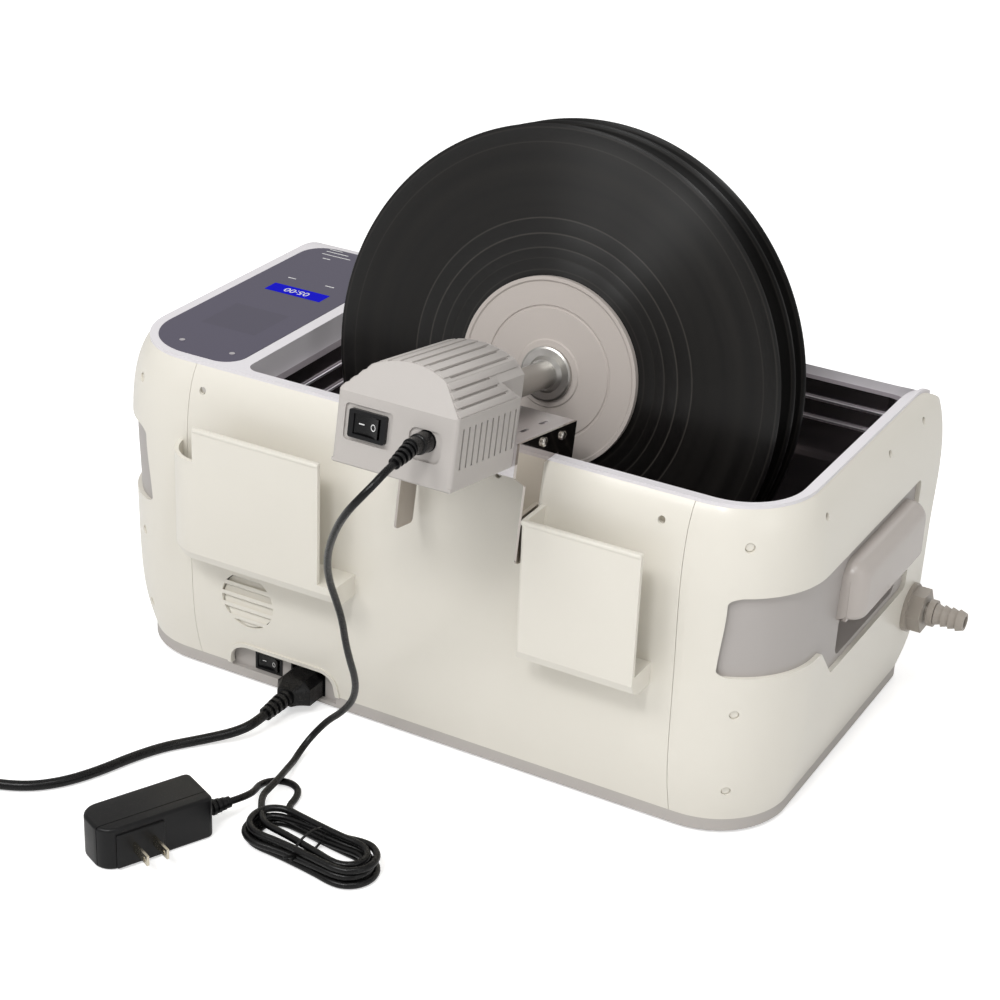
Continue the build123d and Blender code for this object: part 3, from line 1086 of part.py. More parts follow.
def build_mains_lead() -> dict:
    """The connector in the inlet, the lead, its coil, the tie and the mains plug."""
    parts = {}
    width, height = CONNECTOR_W, CONNECTOR_H
    sketch = Rectangle(width, height)
    upper = [v for v in sketch.vertices() if v.Y > 0]
    sketch = chamfer(upper, 4.5)
    front = Pos(INLET_X, INLET_Z) * sketch
    nose = facing_rear(front, ARCH_FACE_Y - 13.6, ARCH_FACE_Y + 2.0)
    for dx, dz in ((-7, -1.5), (0, 2.5), (7, -1.5)):
        nose = nose - box(INLET_X + dx - 1.1, INLET_X + dx + 1.1, ARCH_FACE_Y - 30, ARCH_FACE_Y - 2.0,
                          INLET_Z + dz - 2.1, INLET_Z + dz + 2.1)
    grown = Pos(INLET_X, INLET_Z) * chamfer([v for v in Rectangle(width + 1, height + 1).vertices() if v.Y > 0], 4.8)
    mid = facing_rear(grown, ARCH_FACE_Y + 2.0, CONNECTOR_Y1 - 9.0)
    near = Plane.XZ.offset(-(CONNECTOR_Y1 - 9.0)) * grown
    far = Plane.XZ.offset(-CONNECTOR_Y1) * (Pos(INLET_X + 0.5, INLET_Z - 1.5) * RectangleRounded(13, 12, 3))
    taper = loft([near, far])
    boot = round_boot(Vector(INLET_X + 0.5, CONNECTOR_Y1 - 0.5, INLET_Z - 1.5), Vector(*BOOT_END), (5.4, 4.3))
    parts["mains_connector"] = nose + mid + taper + boot
    low = 0.2
    middle_r = (COIL_R + COIL_HOLE_R) / 2
    section = make_face(Polyline(
        (COIL_HOLE_R, low), (COIL_R, low), (COIL_R, low + MAINS_D * 2), (middle_r + MAINS_D, COIL_H),
        (middle_r, COIL_H), (COIL_HOLE_R, low + MAINS_D * 2), close=True))
    section = fillet(section.vertices(), 3.0)
    tied = offset(section, amount=TIE_T)
    coil = Pos(*COIL_C, 0) * revolve(Plane.XZ * section, Axis.Z, 360)
    band = box(COIL_C[0] - TIE_W / 2, COIL_C[0] + TIE_W / 2, COIL_C[1], COIL_C[1] + COIL_R + 5, 0, COIL_H + 5)
    parts["mains_coil_tie"] = (Pos(*COIL_C, 0) * revolve(Plane.XZ * tied, Axis.Z, 360) - coil) & band
    parts["mains_coil"] = coil
    parts["mains_cord"] = cord_tube(MAINS_ROUTE, MAINS_D, "mains lead")
    parts["mains_cord_tail"] = cord_tube(TAIL_ROUTE, MAINS_D, "mains lead tail")
    x, y = PLUG_END
    z = TAIL_ROUTE[-1][2]
    body = box(x - 12, x + 12, y - 46, y - 14, 0.3, 24.3)
    body = fillet(body.edges().filter_by(Axis.Y), 7.0)
    shoulder = loft([Plane.XZ.offset(-(y - 14)) * (Pos(x, 12.3) * RectangleRounded(23.8, 23.8, 6.9)),
                     Plane.XZ.offset(-(y - 8)) * (Pos(x, z) * Circle(6.0))])
    sleeve = round_boot(Vector(x, y - 8.5, z), Vector(x, y, z), (5.6, 4.3))
    blades = [box(x + dx - 0.8, x + dx + 0.8, y - 63, y - 45, 13.0, 19.4) for dx in (-6.35, 6.35)]
    blades.append(rod("Y", (x, y - 65, 6.5), 2.4, 20))
    parts["mains_plug"] = body + shoulder + sleeve + blades
    return parts


def adapter_frame() -> Location:
    """Where the adapter lies: local X along it, local Z up, the blade face on local -Y."""
    return Pos(*ADAPTER_CORNER, 0) * Rot(0, 0, ADAPTER_DIR)


def build_drive_lead() -> dict:
    """The jack plug, the lead, its hank and tie, and the plug-in adapter."""
    parts = {}
    v0 = BOX_V1 - 11.0
    barrel = ring_along("Y", (JACK_U, v0, JACK_W), 2.7, 1.3, 12.6)
    head = rod("Y", (JACK_U, BOX_V1 + 0.2, JACK_W), 6.0, 9.0)
    head = fillet(head.faces().sort_by(Axis.Y)[-1].edges(), 1.5)
    waist = rod("Y", (JACK_U, BOX_V1 + 9.0, JACK_W), 4.9, 7.0)
    boot = round_boot(Vector(JACK_U, BOX_V1 + 14.5, JACK_W - 0.4), Vector(*LEAD_START), (4.6, 3.1))
    parts["dc_plug"] = PLACE * (barrel + head + waist + boot)
    start = PLACE * Pos(*LEAD_START)
    route = (tuple(start.position),) + LEAD_ROUTE
    hank = extrude(make_face(Spline(*HANK_OUTLINE, periodic=True)), amount=HANK_H)
    hank = Pos(0, 0, 0.3) * fillet(hank.edges().filter_by(lambda e: abs(e.center().Z - HANK_H) < 0.1
                                                          or abs(e.center().Z) < 0.1), 4.5)
    parts["dc_hank"] = hank
    band = box(-12.5, -9.5, 240.5, 292.0, 0.0, HANK_H + 1.5)
    parts["hank_tie"] = fillet(band.edges().filter_by(Axis.X), 5.0) - hank
    parts["dc_cord_upper"] = cord_tube(route, LEAD_D, "drive lead")
    at = adapter_frame()
    length, width, height = ADAPTER
    body = box(-length, 0, 0, width, 0, height)
    body = fillet(body.edges().filter_by(Axis.Z).filter_by(lambda e: e.center().X < -1), 12.0)
    body = fillet(body.edges().filter_by(Axis.Z).filter_by(lambda e: e.center().X > -1), 3.0)
    body = chamfer(body.faces().sort_by(Axis.Z)[-1].edges(), 0.8)
    pad = box(-length + 9.0, -33.0, -1.6, 1.0, 1.5, 24.0)
    back, relief_z, relief_l = RELIEF
    root = Vector(-0.5, back, relief_z)
    tip = Vector(relief_l, back, relief_z)
    boot = round_boot(root, tip, (5.0, 3.1))
    parts["power_adapter"] = at * (body + pad + boot)
    blades = [box(-length + 19.0 + dx, -length + 20.6 + dx, -18.6, -1.6, 10.3, 16.7) for dx in (0, 12.7)]
    holes = [rod("X", (-length + 15.0, -15.6, 13.5), 1.4, 30)]
    parts["adapter_blades"] = at * (Part() + blades - holes)
    exit_point = (at * Pos(*tip)).position
    parts["dc_cord_lower"] = cord_tube((tuple(exit_point),) + ADAPTER_ROUTE, LEAD_D, "adapter lead")
    return parts


nodes = build_casing()
nodes.update(build_drive())
nodes.update(build_mains_lead())
nodes.update(build_drive_lead())
for node, shape in nodes.items():
    save(node, shape)
print(len(nodes), "nodes")
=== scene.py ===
"""The looks of a bench-top record cleaning machine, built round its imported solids.

Every piece lies in the machine's own frame, in metres: the origin is on the table below the
middle of the casing, +X is the control panel end, +Y the service side and +Z up.
"""

import logging
import math
from dataclasses import dataclass
from enum import Enum
from typing import Callable, Iterable

import bmesh
import bpy
from mathutils import Matrix, Vector


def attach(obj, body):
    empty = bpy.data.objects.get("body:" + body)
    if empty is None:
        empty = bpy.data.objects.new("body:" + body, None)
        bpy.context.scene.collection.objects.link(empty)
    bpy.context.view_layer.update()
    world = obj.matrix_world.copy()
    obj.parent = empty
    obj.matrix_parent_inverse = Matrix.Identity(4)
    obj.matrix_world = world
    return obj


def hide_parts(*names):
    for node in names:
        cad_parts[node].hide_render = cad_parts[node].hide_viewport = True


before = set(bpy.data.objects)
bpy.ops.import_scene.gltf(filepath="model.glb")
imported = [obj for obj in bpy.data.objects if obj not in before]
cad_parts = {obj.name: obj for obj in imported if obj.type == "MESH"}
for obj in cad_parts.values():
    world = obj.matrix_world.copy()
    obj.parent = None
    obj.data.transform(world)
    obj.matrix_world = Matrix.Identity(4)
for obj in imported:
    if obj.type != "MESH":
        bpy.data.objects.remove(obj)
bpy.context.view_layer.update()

log = logging.getLogger("record_cleaner")

Colour = tuple[float, float, float, float]
Point = tuple[float, float, float]
Feed = bpy.types.NodeSocket | float | tuple[float, ...]

TOP_Z = 0.221

# The spindle's frame: on its axis at the face of the outer disc, leaning with the drive.
SPINDLE = Vector((-0.04175, 0.04985, 0.238))
PITCH = math.radians(9.65)
DRIVE_FRAME = Matrix.Translation(SPINDLE) @ Matrix.Rotation(PITCH, 4, "X")

# The pivots of the two rockers.
MAINS_PIVOT = Matrix.Translation((0.117, 0.119, 0.0164))
DRIVE_PIVOT = DRIVE_FRAME @ Matrix.Translation((0.0171, 0.1809, -0.0024))


def shade(red: int, green: int, blue: int) -> Colour:
    """A screen colour of 0 to 255 as linear light with full alpha, by the sRGB curve.

    Args:
        red: Red on the screen.
        green: Green on the screen.
        blue: Blue on the screen.

    Returns:
        The linear colour.
    """
    parts = []
    for value in (red, green, blue):
        share = value / 255
        parts.append(share / 12.92 if share <= 0.04045 else ((share + 0.055) / 1.055) ** 2.4)
    return (parts[0], parts[1], parts[2], 1.0)


def dim(colour: Colour, share: float) -> Colour:
    """A darker colour of the same hue."""
    return tuple(value * share for value in colour[:3]) + (1.0,)


# ------------------------------------------------------------------ shared effects
DUST = shade(196, 192, 184)
DUST_FALL = 4.0
SPECK_SCALE = 900.0
SPECK_LIMIT = 0.62

# Radius and strength of the recorded bands, and of the smooth rings between them, which the vinyl paints as
# thin lines of painted highlight.
GROOVE_BANDS = ((0.0590, 0.10), (0.0605, 0.30), (0.0940, 0.34), (0.0955, 0.92), (0.1380, 1.0),
                (0.1405, 0.42), (0.1472, 0.12), (0.1508, 0.05))
SMOOTH_RINGS = ((0.0635, 0.5), (0.0700, 0.5), (0.0767, 0.6), (0.0851, 0.7), (0.0947, 0.9), (0.1401, 0.6),
                (0.1482, 0.5))
RING_HALF = 0.00045


class Effect(Enum):
    """The shared shader groups."""

    GRAIN = "moulded_grain"
    DRIFT = "tone_drift"
    GROOVES = "disc_grooves"


class TreeBench:
    """A node tree under construction, with short calls for nodes and links."""

    def __init__(self, tree: bpy.types.NodeTree) -> None:
        """Start on an empty tree."""
        self.tree = tree
        tree.nodes.clear()

    def link(self, source: bpy.types.NodeSocket, target: bpy.types.NodeSocket) -> None:
        """Join two sockets."""
        self.tree.links.new(source, target)

    def fill(self, node: bpy.types.Node, inputs: dict[str | int, Feed]) -> None:
        """Link or set a node's inputs.

        Args:
            node: The node.
            inputs: Socket name or index to another socket or a plain value.
        """
        for key, value in inputs.items():
            if isinstance(value, bpy.types.NodeSocket):
                self.link(value, node.inputs[key])
            else:
                node.inputs[key].default_value = value

    def node(self, kind: str, inputs: dict[str | int, Feed] | None = None,
             **settings: object) -> bpy.types.Node:
        """Add a node.

        Args:
            kind: The node's type name.
            inputs: Socket name or index to another socket or a plain value.
            **settings: Attributes of the node itself.

        Returns:
            The new node.
        """
        made = self.tree.nodes.new(kind)
        for name, value in settings.items():
            setattr(made, name, value)
        self.fill(made, inputs or {})
        return made

    def group(self, effect: Effect, **values: float) -> bpy.types.Node:
        """Place a shared effect with its own values.

        Args:
            effect: Which effect.
            **values: Input name to value.

        Returns:
            The group node.
        """
        return self.node("ShaderNodeGroup", values, node_tree=effect_tree(effect))

    def maths(self, operation: str, *terms: bpy.types.NodeSocket | float) -> bpy.types.NodeSocket:
        """Add a math node.

        Args:
            operation: The node's operation.
            *terms: One or two sockets or numbers.

        Returns:
            The result socket.
        """
        return self.node("ShaderNodeMath", dict(enumerate(terms)), operation=operation).outputs[0]

    def mix(self, share: bpy.types.NodeSocket, first: Feed, second: Feed) -> bpy.types.NodeSocket:
        """Blend two colours.

        Args:
            share: How much of the second one shows, 0 to 1.
            first: A colour or a colour socket.
            second: A colour or a colour socket.

        Returns:
            The blended colour.
        """
        return self.node("ShaderNodeMix", {0: share, 6: first, 7: second}, data_type="RGBA").outputs[2]

    def own_place(self) -> bpy.types.NodeSocket:
        """The coordinates of the piece itself."""
        return self.node("ShaderNodeTexCoord").outputs["Object"]

    def noise(self, dimensions: str = "3D", **inputs: Feed) -> bpy.types.NodeSocket:
        """Add a noise texture.

        Args:
            dimensions: 3D or 1D.
            **inputs: Its inputs by name.

        Returns:
            The noise, 0 to 1.
        """
        return self.node("ShaderNodeTexNoise", inputs, noise_dimensions=dimensions).outputs["Fac"]


def effect_tree(effect: Effect) -> bpy.types.NodeTree:
    """The node group of an effect, made at its first use.

    Args:
        effect: Which effect.

    Returns:
        The group's tree.
    """
    known = bpy.data.node_groups.get(effect.value)
    if known is not None:
        return known
    tree = bpy.data.node_groups.new(effect.value, "ShaderNodeTree")
    builders = {Effect.GRAIN: build_grain, Effect.DRIFT: build_drift, Effect.GROOVES: build_grooves}
    builders[effect](tree)
    return tree


def sockets(tree: bpy.types.NodeTree, inputs: dict[str, float], outputs: Iterable[str]) -> None:
    """Declare a group's sockets.

    Args:
        tree: The group.
        inputs: Name to default number.
        outputs: Names of the number outputs.
    """
    for name, value in inputs.items():
        made = tree.interface.new_socket(name=name, in_out="INPUT", socket_type="NodeSocketFloat")
        made.default_value = value
    for name in outputs:
        tree.interface.new_socket(name=name, in_out="OUTPUT", socket_type="NodeSocketFloat")


def build_grain(tree: bpy.types.NodeTree) -> None:
    """Fine spark-eroded grain over a soft orange peel, as a height.

    Args:
        tree: The empty group.
    """
    bench = TreeBench(tree)
    sockets(tree, {"Grain": 0.0004, "Peel": 0.004, "Peel share": 0.4}, ["Height"])
    entry = bench.node("NodeGroupInput")
    place = bench.own_place()
    fine = bench.noise(Vector=place, Scale=bench.maths("DIVIDE", 1.0, entry.outputs["Grain"]), Detail=3.0,
                       Roughness=0.6)
    broad = bench.noise(Vector=place, Scale=bench.maths("DIVIDE", 1.0, entry.outputs["Peel"]), Detail=1.0)
    wide = bench.maths("MULTIPLY", broad, entry.outputs["Peel share"])
    bench.node("NodeGroupOutput", {"Height": bench.maths("ADD", fine, wide)})


def build_drift(tree: bpy.types.NodeTree) -> None:
    """A slow change of tone over a surface, with a little settled dust on level faces.

    Args:
        tree: The empty group.
    """
    bench = TreeBench(tree)
    sockets(tree, {"Size": 0.12, "Dust": 0.2}, ["Tone", "Dust mask"])
    entry = bench.node("NodeGroupInput")
    place = bench.own_place()
    slow = bench.noise(Vector=place, Scale=bench.maths("DIVIDE", 1.0, entry.outputs["Size"]), Detail=2.0,
                       Roughness=0.5)
    specks = bench.noise(Vector=place, Scale=SPECK_SCALE, Detail=2.0)
    facing = bench.node("ShaderNodeNewGeometry").outputs["Normal"]
    upward = bench.node("ShaderNodeSeparateXYZ", {0: facing}).outputs["Z"]
    level = bench.maths("POWER", bench.maths("MAXIMUM", upward, 0.0), DUST_FALL)
    spots = bench.maths("GREATER_THAN", specks, SPECK_LIMIT)
    settled = bench.maths("ADD", bench.maths("MULTIPLY", level, slow), spots)
    mask = bench.maths("MULTIPLY", settled, entry.outputs["Dust"])
    bench.node("NodeGroupOutput", {"Tone": slow, "Dust mask": bench.maths("MULTIPLY", mask, level)})


def build_grooves(tree: bpy.types.NodeTree) -> None:
    """Pressed grooves by radius: the recorded bands, the smooth rings (used as lines of painted highlight), a
    fine height and broad streaks (used in gloss and as painted sheen).

    Args:
        tree: The empty group.
    """
    bench = TreeBench(tree)
    sockets(tree, {"Pitch": 0.0016}, ["Band", "Line", "Height", "Streak"])
    entry = bench.node("NodeGroupInput")
    leave = bench.node("NodeGroupOutput")
    polar = bench.node("ShaderNodeUVMap", uv_map="disc").outputs["UV"]
    outward = bench.node("ShaderNodeSeparateXYZ", {0: polar}).outputs["Y"]
    # The smooth rings become thin lines that the vinyl paints lighter, as a painted highlight.
    lines = [stop for reach, value in SMOOTH_RINGS
             for stop in ((reach - RING_HALF, 0.0), (reach, value), (reach + RING_HALF, 0.0))]
    for name, stops in (("Band", GROOVE_BANDS), ("Line", lines)):
        ramp = bench.node("ShaderNodeValToRGB", {"Fac": outward})
        elements = ramp.color_ramp.elements
        for index, (reach, value) in enumerate(stops):
            element = elements[index] if index < 2 else elements.new(1.0)
            element.position = reach / RecordStack.UV_REACH
            element.color = (value, value, value, 1.0)
        bench.link(ramp.outputs["Color"], leave.inputs[name])
    radius = bench.maths("MULTIPLY", outward, RecordStack.UV_REACH)
    step = bench.maths("DIVIDE", radius, entry.outputs["Pitch"])
    bench.fill(leave, {"Height": bench.noise("1D", W=step, Scale=1.0, Detail=2.0),
                       "Streak": bench.noise("1D", W=step, Scale=0.12, Detail=1.0)})


# ------------------------------------------------------------------ finishes
@dataclass(frozen=True)
class Finish:
    """What every finish has: a name, a colour and a gloss."""

    name: str
    colour: Colour
    roughness: float = 0.5

    def material(self) -> bpy.types.Material:
        """The finish as a material, made at its first use.

        Returns:
            The material.
        """
        title = f"{self.name}_finish"
        known = bpy.data.materials.get(title)
        if known is not None:
            return known
        made = bpy.data.materials.new(title)
        made.use_nodes = True
        made.diffuse_color = self.colour
        bench = TreeBench(made.node_tree)
        surface = bench.node("ShaderNodeBsdfPrincipled",
                             {"Base Color": self.colour, "Roughness": self.roughness})
        bench.node("ShaderNodeOutputMaterial", {"Surface": surface.outputs[0]})
        self.dress(bench, surface)
        return made

    def dress(self, bench: TreeBench, surface: bpy.types.Node) -> None:
        """Add what the plain colour lacks; each finish has its own.

        Args:
            bench: The material's tree.
            surface: Its shader.
        """
        raise NotImplementedError

    def vary(self, bench: TreeBench, surface: bpy.types.Node, size: float, depth: float, dust: float) -> None:
        """Let the colour drift a little and settle some dust on it.

        Args:
            bench: The material's tree.
            surface: Its shader.
            size: Length over which the tone changes, in metres.
            depth: How much darker the darkest tone is, 0 to 1.
            dust: How much dust lies on level faces, 0 to 1.
        """
        drift = bench.group(Effect.DRIFT, Size=size, Dust=dust)
        tone = bench.mix(drift.outputs["Tone"], self.colour, dim(self.colour, 1 - depth))
        bench.fill(surface, {"Base Color": bench.mix(drift.outputs["Dust mask"], tone, DUST)})

    def emboss(self, bench: TreeBench, surface: bpy.types.Node, height: bpy.types.NodeSocket, depth: float,
               strength: float) -> None:
        """Turn a height into relief.

        Args:
            bench: The material's tree.
            surface: Its shader.
            height: The height socket.
            depth: Depth of the relief in metres.
            strength: Strength of the bump, 0 to 1.
        """
        bump = bench.node("ShaderNodeBump", {"Strength": strength, "Distance": depth, "Height": height})
        bench.fill(surface, {"Normal": bump.outputs["Normal"]})


@dataclass(frozen=True)
class Moulding(Finish):
    """Moulded plastic or sprayed paint with a grain and a soft orange peel."""

    grain: float = 0.0005
    peel: float = 0.004
    relief: float = 0.00003
    strength: float = 0.6
    drift: float = 0.03
    drift_size: float = 0.09
    dust: float = 0.0
    coat: float = 0.0
    coat_roughness: float = 0.18

    def dress(self, bench: TreeBench, surface: bpy.types.Node) -> None:
        """Grain, peel, tone drift and a clear coat where there is one.

        Args:
            bench: The material's tree.
            surface: Its shader.
        """
        bench.fill(surface, {"Coat Weight": self.coat, "Coat Roughness": self.coat_roughness})
        grain = bench.group(Effect.GRAIN, Grain=self.grain, Peel=self.peel)
        self.emboss(bench, surface, grain.outputs["Height"], self.relief, self.strength)
        self.vary(bench, surface, self.drift_size, self.drift, self.dust)


@dataclass(frozen=True)
class Steel(Finish):
    """Metal with brush marks: the lower the scale along an axis, the longer the marks on it."""

    scales: tuple[float, float, float] = (60.0, 60.0, 60.0)
    relief: float = 0.000004
    strength: float = 0.5
    spread: float = 0.08
    drift: float = 0.1
    drift_size: float = 0.05

    def dress(self, bench: TreeBench, surface: bpy.types.Node) -> None:
        """Stretched noise in roughness and relief.

        Args:
            bench: The material's tree.
            surface: Its shader.
        """
        stretched = bench.node("ShaderNodeMapping", {"Vector": bench.own_place(), "Scale": self.scales})
        marks = bench.noise(Vector=stretched.outputs[0], Scale=1.0, Detail=4.0)
        wide = bench.maths("MULTIPLY", marks, self.spread)
        bench.fill(surface, {"Metallic": 1.0,
                             "Roughness": bench.maths("ADD", wide, self.roughness - self.spread / 2)})
        self.emboss(bench, surface, marks, self.relief, self.strength)
        self.vary(bench, surface, self.drift_size, self.drift, 0.0)


@dataclass(frozen=True)
class Jacket(Finish):
    """Black cord jacket or soft rubber: fine scuffs and a faint waviness."""

    scuff: float = 0.0007
    wave: float = 0.006
    relief: float = 0.00003
    strength: float = 0.4
    sheen: float = 0.3
    spread: float = 0.16
    gloss_gain: float = 0.1
    drift: float = 0.2
    drift_size: float = 0.03
    dust: float = 0.012

    def dress(self, bench: TreeBench, surface: bpy.types.Node) -> None:
        """A waxy surface with small changes of gloss.

        Args:
            bench: The material's tree.
            surface: Its shader.
        """
        height = bench.group(Effect.GRAIN, Grain=self.scuff, Peel=self.wave).outputs["Height"]
        self.emboss(bench, surface, height, self.relief, self.strength)
        gloss = bench.maths("MULTIPLY", height, self.spread)
        bench.fill(surface, {"Specular IOR Level": self.sheen,
                             "Roughness": bench.maths("ADD", gloss, self.roughness - self.gloss_gain)})
        self.vary(bench, surface, self.drift_size, self.drift, self.dust)


@dataclass(frozen=True)
class Vinyl(Finish):
    """Pressed black vinyl: grooved bands that catch light across the disc, with a painted sheen on the bands
    and lines of painted highlight on the smooth rings.
    """

    # Lighter colour painted on the grooved bands and the smooth rings: painted sheen and painted highlight.
    painted_sheen: Colour = shade(72, 68, 64)
    sheen: float = 0.45
    drawn_out: float = 0.9
    quarter_turn: float = 0.25
    groove_pitch: float = 0.0011
    streak_tone: float = 0.14
    band_spread: float = 0.16
    streak_spread: float = 0.1
    relief: float = 0.00004
    strength: float = 0.35

    def dress(self, bench: TreeBench, surface: bpy.types.Node) -> None:
        """Bands in gloss and in a painted sheen, lines of painted highlight on the smooth rings, fine groove
        relief and light drawn out across the grooves.

        Args:
            bench: The material's tree.
            surface: Its shader.
        """
        tangent = bench.node("ShaderNodeTangent", direction_type="UV_MAP", uv_map="disc")
        grooves = bench.group(Effect.GROOVES, Pitch=self.groove_pitch)
        band, streak = grooves.outputs["Band"], grooves.outputs["Streak"]
        # Painted sheen on the streaked bands, and lines of painted highlight on the smooth rings.
        faint = bench.maths("MULTIPLY", bench.maths("MULTIPLY", band, streak), self.streak_tone)
        share = bench.maths("MAXIMUM", faint, grooves.outputs["Line"])
        rough = bench.maths("ADD", bench.maths("MULTIPLY", band, self.band_spread),
                            bench.maths("MULTIPLY", streak, self.streak_spread))
        bench.fill(surface, {"Anisotropic": self.drawn_out, "Anisotropic Rotation": self.quarter_turn,
                             "Specular IOR Level": self.sheen, "Tangent": tangent.outputs[0],
                             "Base Color": bench.mix(share, self.colour, self.painted_sheen),
                             "Roughness": bench.maths("ADD", rough, self.roughness)})
        height = bench.maths("MULTIPLY", grooves.outputs["Height"], band)
        self.emboss(bench, surface, height, self.relief, self.strength)


@dataclass(frozen=True)
class PrintedFilm(Finish):
    """The control film: slate print under a fine matt surface, with a darker window patch."""

    patch_centre: tuple[float, float] = (0.183, 0.051)
    patch_size: tuple[float, float] = (0.042, 0.040)
    patch_tone: float = 0.86
    grain: float = 0.0003
    peel: float = 0.02
    relief: float = 0.00001
    strength: float = 0.4

    def dress(self, bench: TreeBench, surface: bpy.types.Node) -> None:
        """Fine grain and a faint darker rectangle.

        Args:
            bench: The material's tree.
            surface: Its shader.
        """
        grain = bench.group(Effect.GRAIN, Grain=self.grain, Peel=self.peel)
        self.emboss(bench, surface, grain.outputs["Height"], self.relief, self.strength)
        split = bench.node("ShaderNodeSeparateXYZ", {0: bench.own_place()})
        within = []
        for axis, centre, size in zip("XY", self.patch_centre, self.patch_size):
            apart = bench.maths("ABSOLUTE", bench.maths("SUBTRACT", split.outputs[axis], centre))
            within.append(bench.maths("LESS_THAN", apart, size / 2))
        patch = bench.maths("MULTIPLY", *within)
        bench.fill(surface, {"Base Color": bench.mix(patch, self.colour, dim(self.colour, self.patch_tone))})


@dataclass(frozen=True)
class LitDisplay(Finish):
    """A backlit display behind a glossy window."""

    glow: float = 1.0
    sheen: float = 0.03
    unlit: Colour = shade(2, 2, 44)
    cell_scale: float = 600.0
    cell_tone: float = 0.93
    gap_tone: float = 0.8

    def dress(self, bench: TreeBench, surface: bpy.types.Node) -> None:
        """An even glow with a faint cell pattern.

        Args:
            bench: The material's tree.
            surface: Its shader.
        """
        cells = bench.node("ShaderNodeTexBrick", {
            "Vector": bench.own_place(), "Scale": self.cell_scale, "Color1": self.colour,
            "Color2": dim(self.colour, self.cell_tone), "Mortar": dim(self.colour, self.gap_tone)})
        bench.fill(surface, {"Emission Strength": self.glow, "Specular IOR Level": self.sheen,
                             "Base Color": self.unlit, "Emission Color": cells.outputs["Color"]})


CREAM_PAINT = Moulding("cream_paint", shade(228, 224, 214), 0.3, grain=0.0016, peel=0.006, relief=0.00004,
                       drift=0.025, coat=0.15)
FRAME_GREY = Moulding("frame_grey", shade(228, 225, 229), 0.5, grain=0.0004, relief=0.00004, dust=0.02)
BASE_BEIGE = Moulding("base_beige", shade(181, 176, 172), 0.5, relief=0.00004, drift=0.04)
TRIM_GREY = Moulding("trim_grey", shade(178, 173, 170), 0.45, drift=0.04)
GRIP_TAUPE = Moulding("grip_taupe", shade(190, 183, 178), 0.27, grain=0.0006, relief=0.00005, drift=0.05)
DRIVE_GREY = Moulding("drive_grey", shade(186, 181, 177), 0.5, relief=0.00005, dust=0.02)
PROTECTOR_GREY = Moulding("protector_grey", shade(188, 180, 174), 0.42, grain=0.0007)
MARK_WHITE = Moulding("mark_white", shade(226, 226, 226), 0.5, relief=0.00001, drift=0.02)
BOARD_GREEN = Moulding("board_green", shade(38, 92, 60), 0.4, grain=0.0009, relief=0.00005, drift=0.2)
BARB_BEIGE = Moulding("barb_beige", shade(169, 161, 152), 0.4, grain=0.0006, drift=0.05)
SOCKET_BLACK = Jacket("socket_black", shade(12, 12, 14), 0.33, scuff=0.0005)
ROCKER_BLACK = Jacket("rocker_black", shade(12, 12, 13), 0.24, scuff=0.0008)
CORD_BLACK = Jacket("cord_black", shade(11, 11, 12), 0.27)
RUBBER_BLACK = Jacket("rubber_black", shade(20, 20, 21), 0.55, scuff=0.0004)
VINYL_BLACK = Vinyl("vinyl_black", shade(9, 8, 8), 0.3)
FILM_SLATE = PrintedFilm("film_slate", shade(76, 72, 90), 0.42)
DISPLAY_BLUE = LitDisplay("display_blue", shade(4, 4, 194), 0.5)
NICKEL = Steel("nickel", shade(196, 192, 186), 0.2)
BLADE_BRASS = Steel("blade_brass", shade(222, 214, 196), 0.2)
BATH_STEEL = Steel("bath_steel", shade(190, 184, 187), 0.24, (6.0, 300.0, 300.0), relief=0.000006)
PLATE_STEEL = Steel("plate_steel", shade(230, 226, 228), 0.34, (500.0, 8.0, 8.0), relief=0.00001, spread=0.1)
RIM_STEEL = Steel("rim_steel", shade(236, 232, 236), 0.3, (9.0, 9.0, 9.0), relief=0.000002, spread=0.06)
MIRROR_STEEL = Steel("mirror_steel", shade(186, 179, 173), 0.08, (9.0, 9.0, 9.0), relief=0.000002,
                     spread=0.03)
SHAFT_GREY = Steel("shaft_grey", shade(190, 188, 184), 0.38, (900.0, 60.0, 900.0), relief=0.00001,
                   spread=0.12)
MOTOR_STEEL = Steel("motor_steel", shade(150, 150, 150), 0.35, (60.0, 400.0, 400.0), relief=0.00001,
                    spread=0.1)

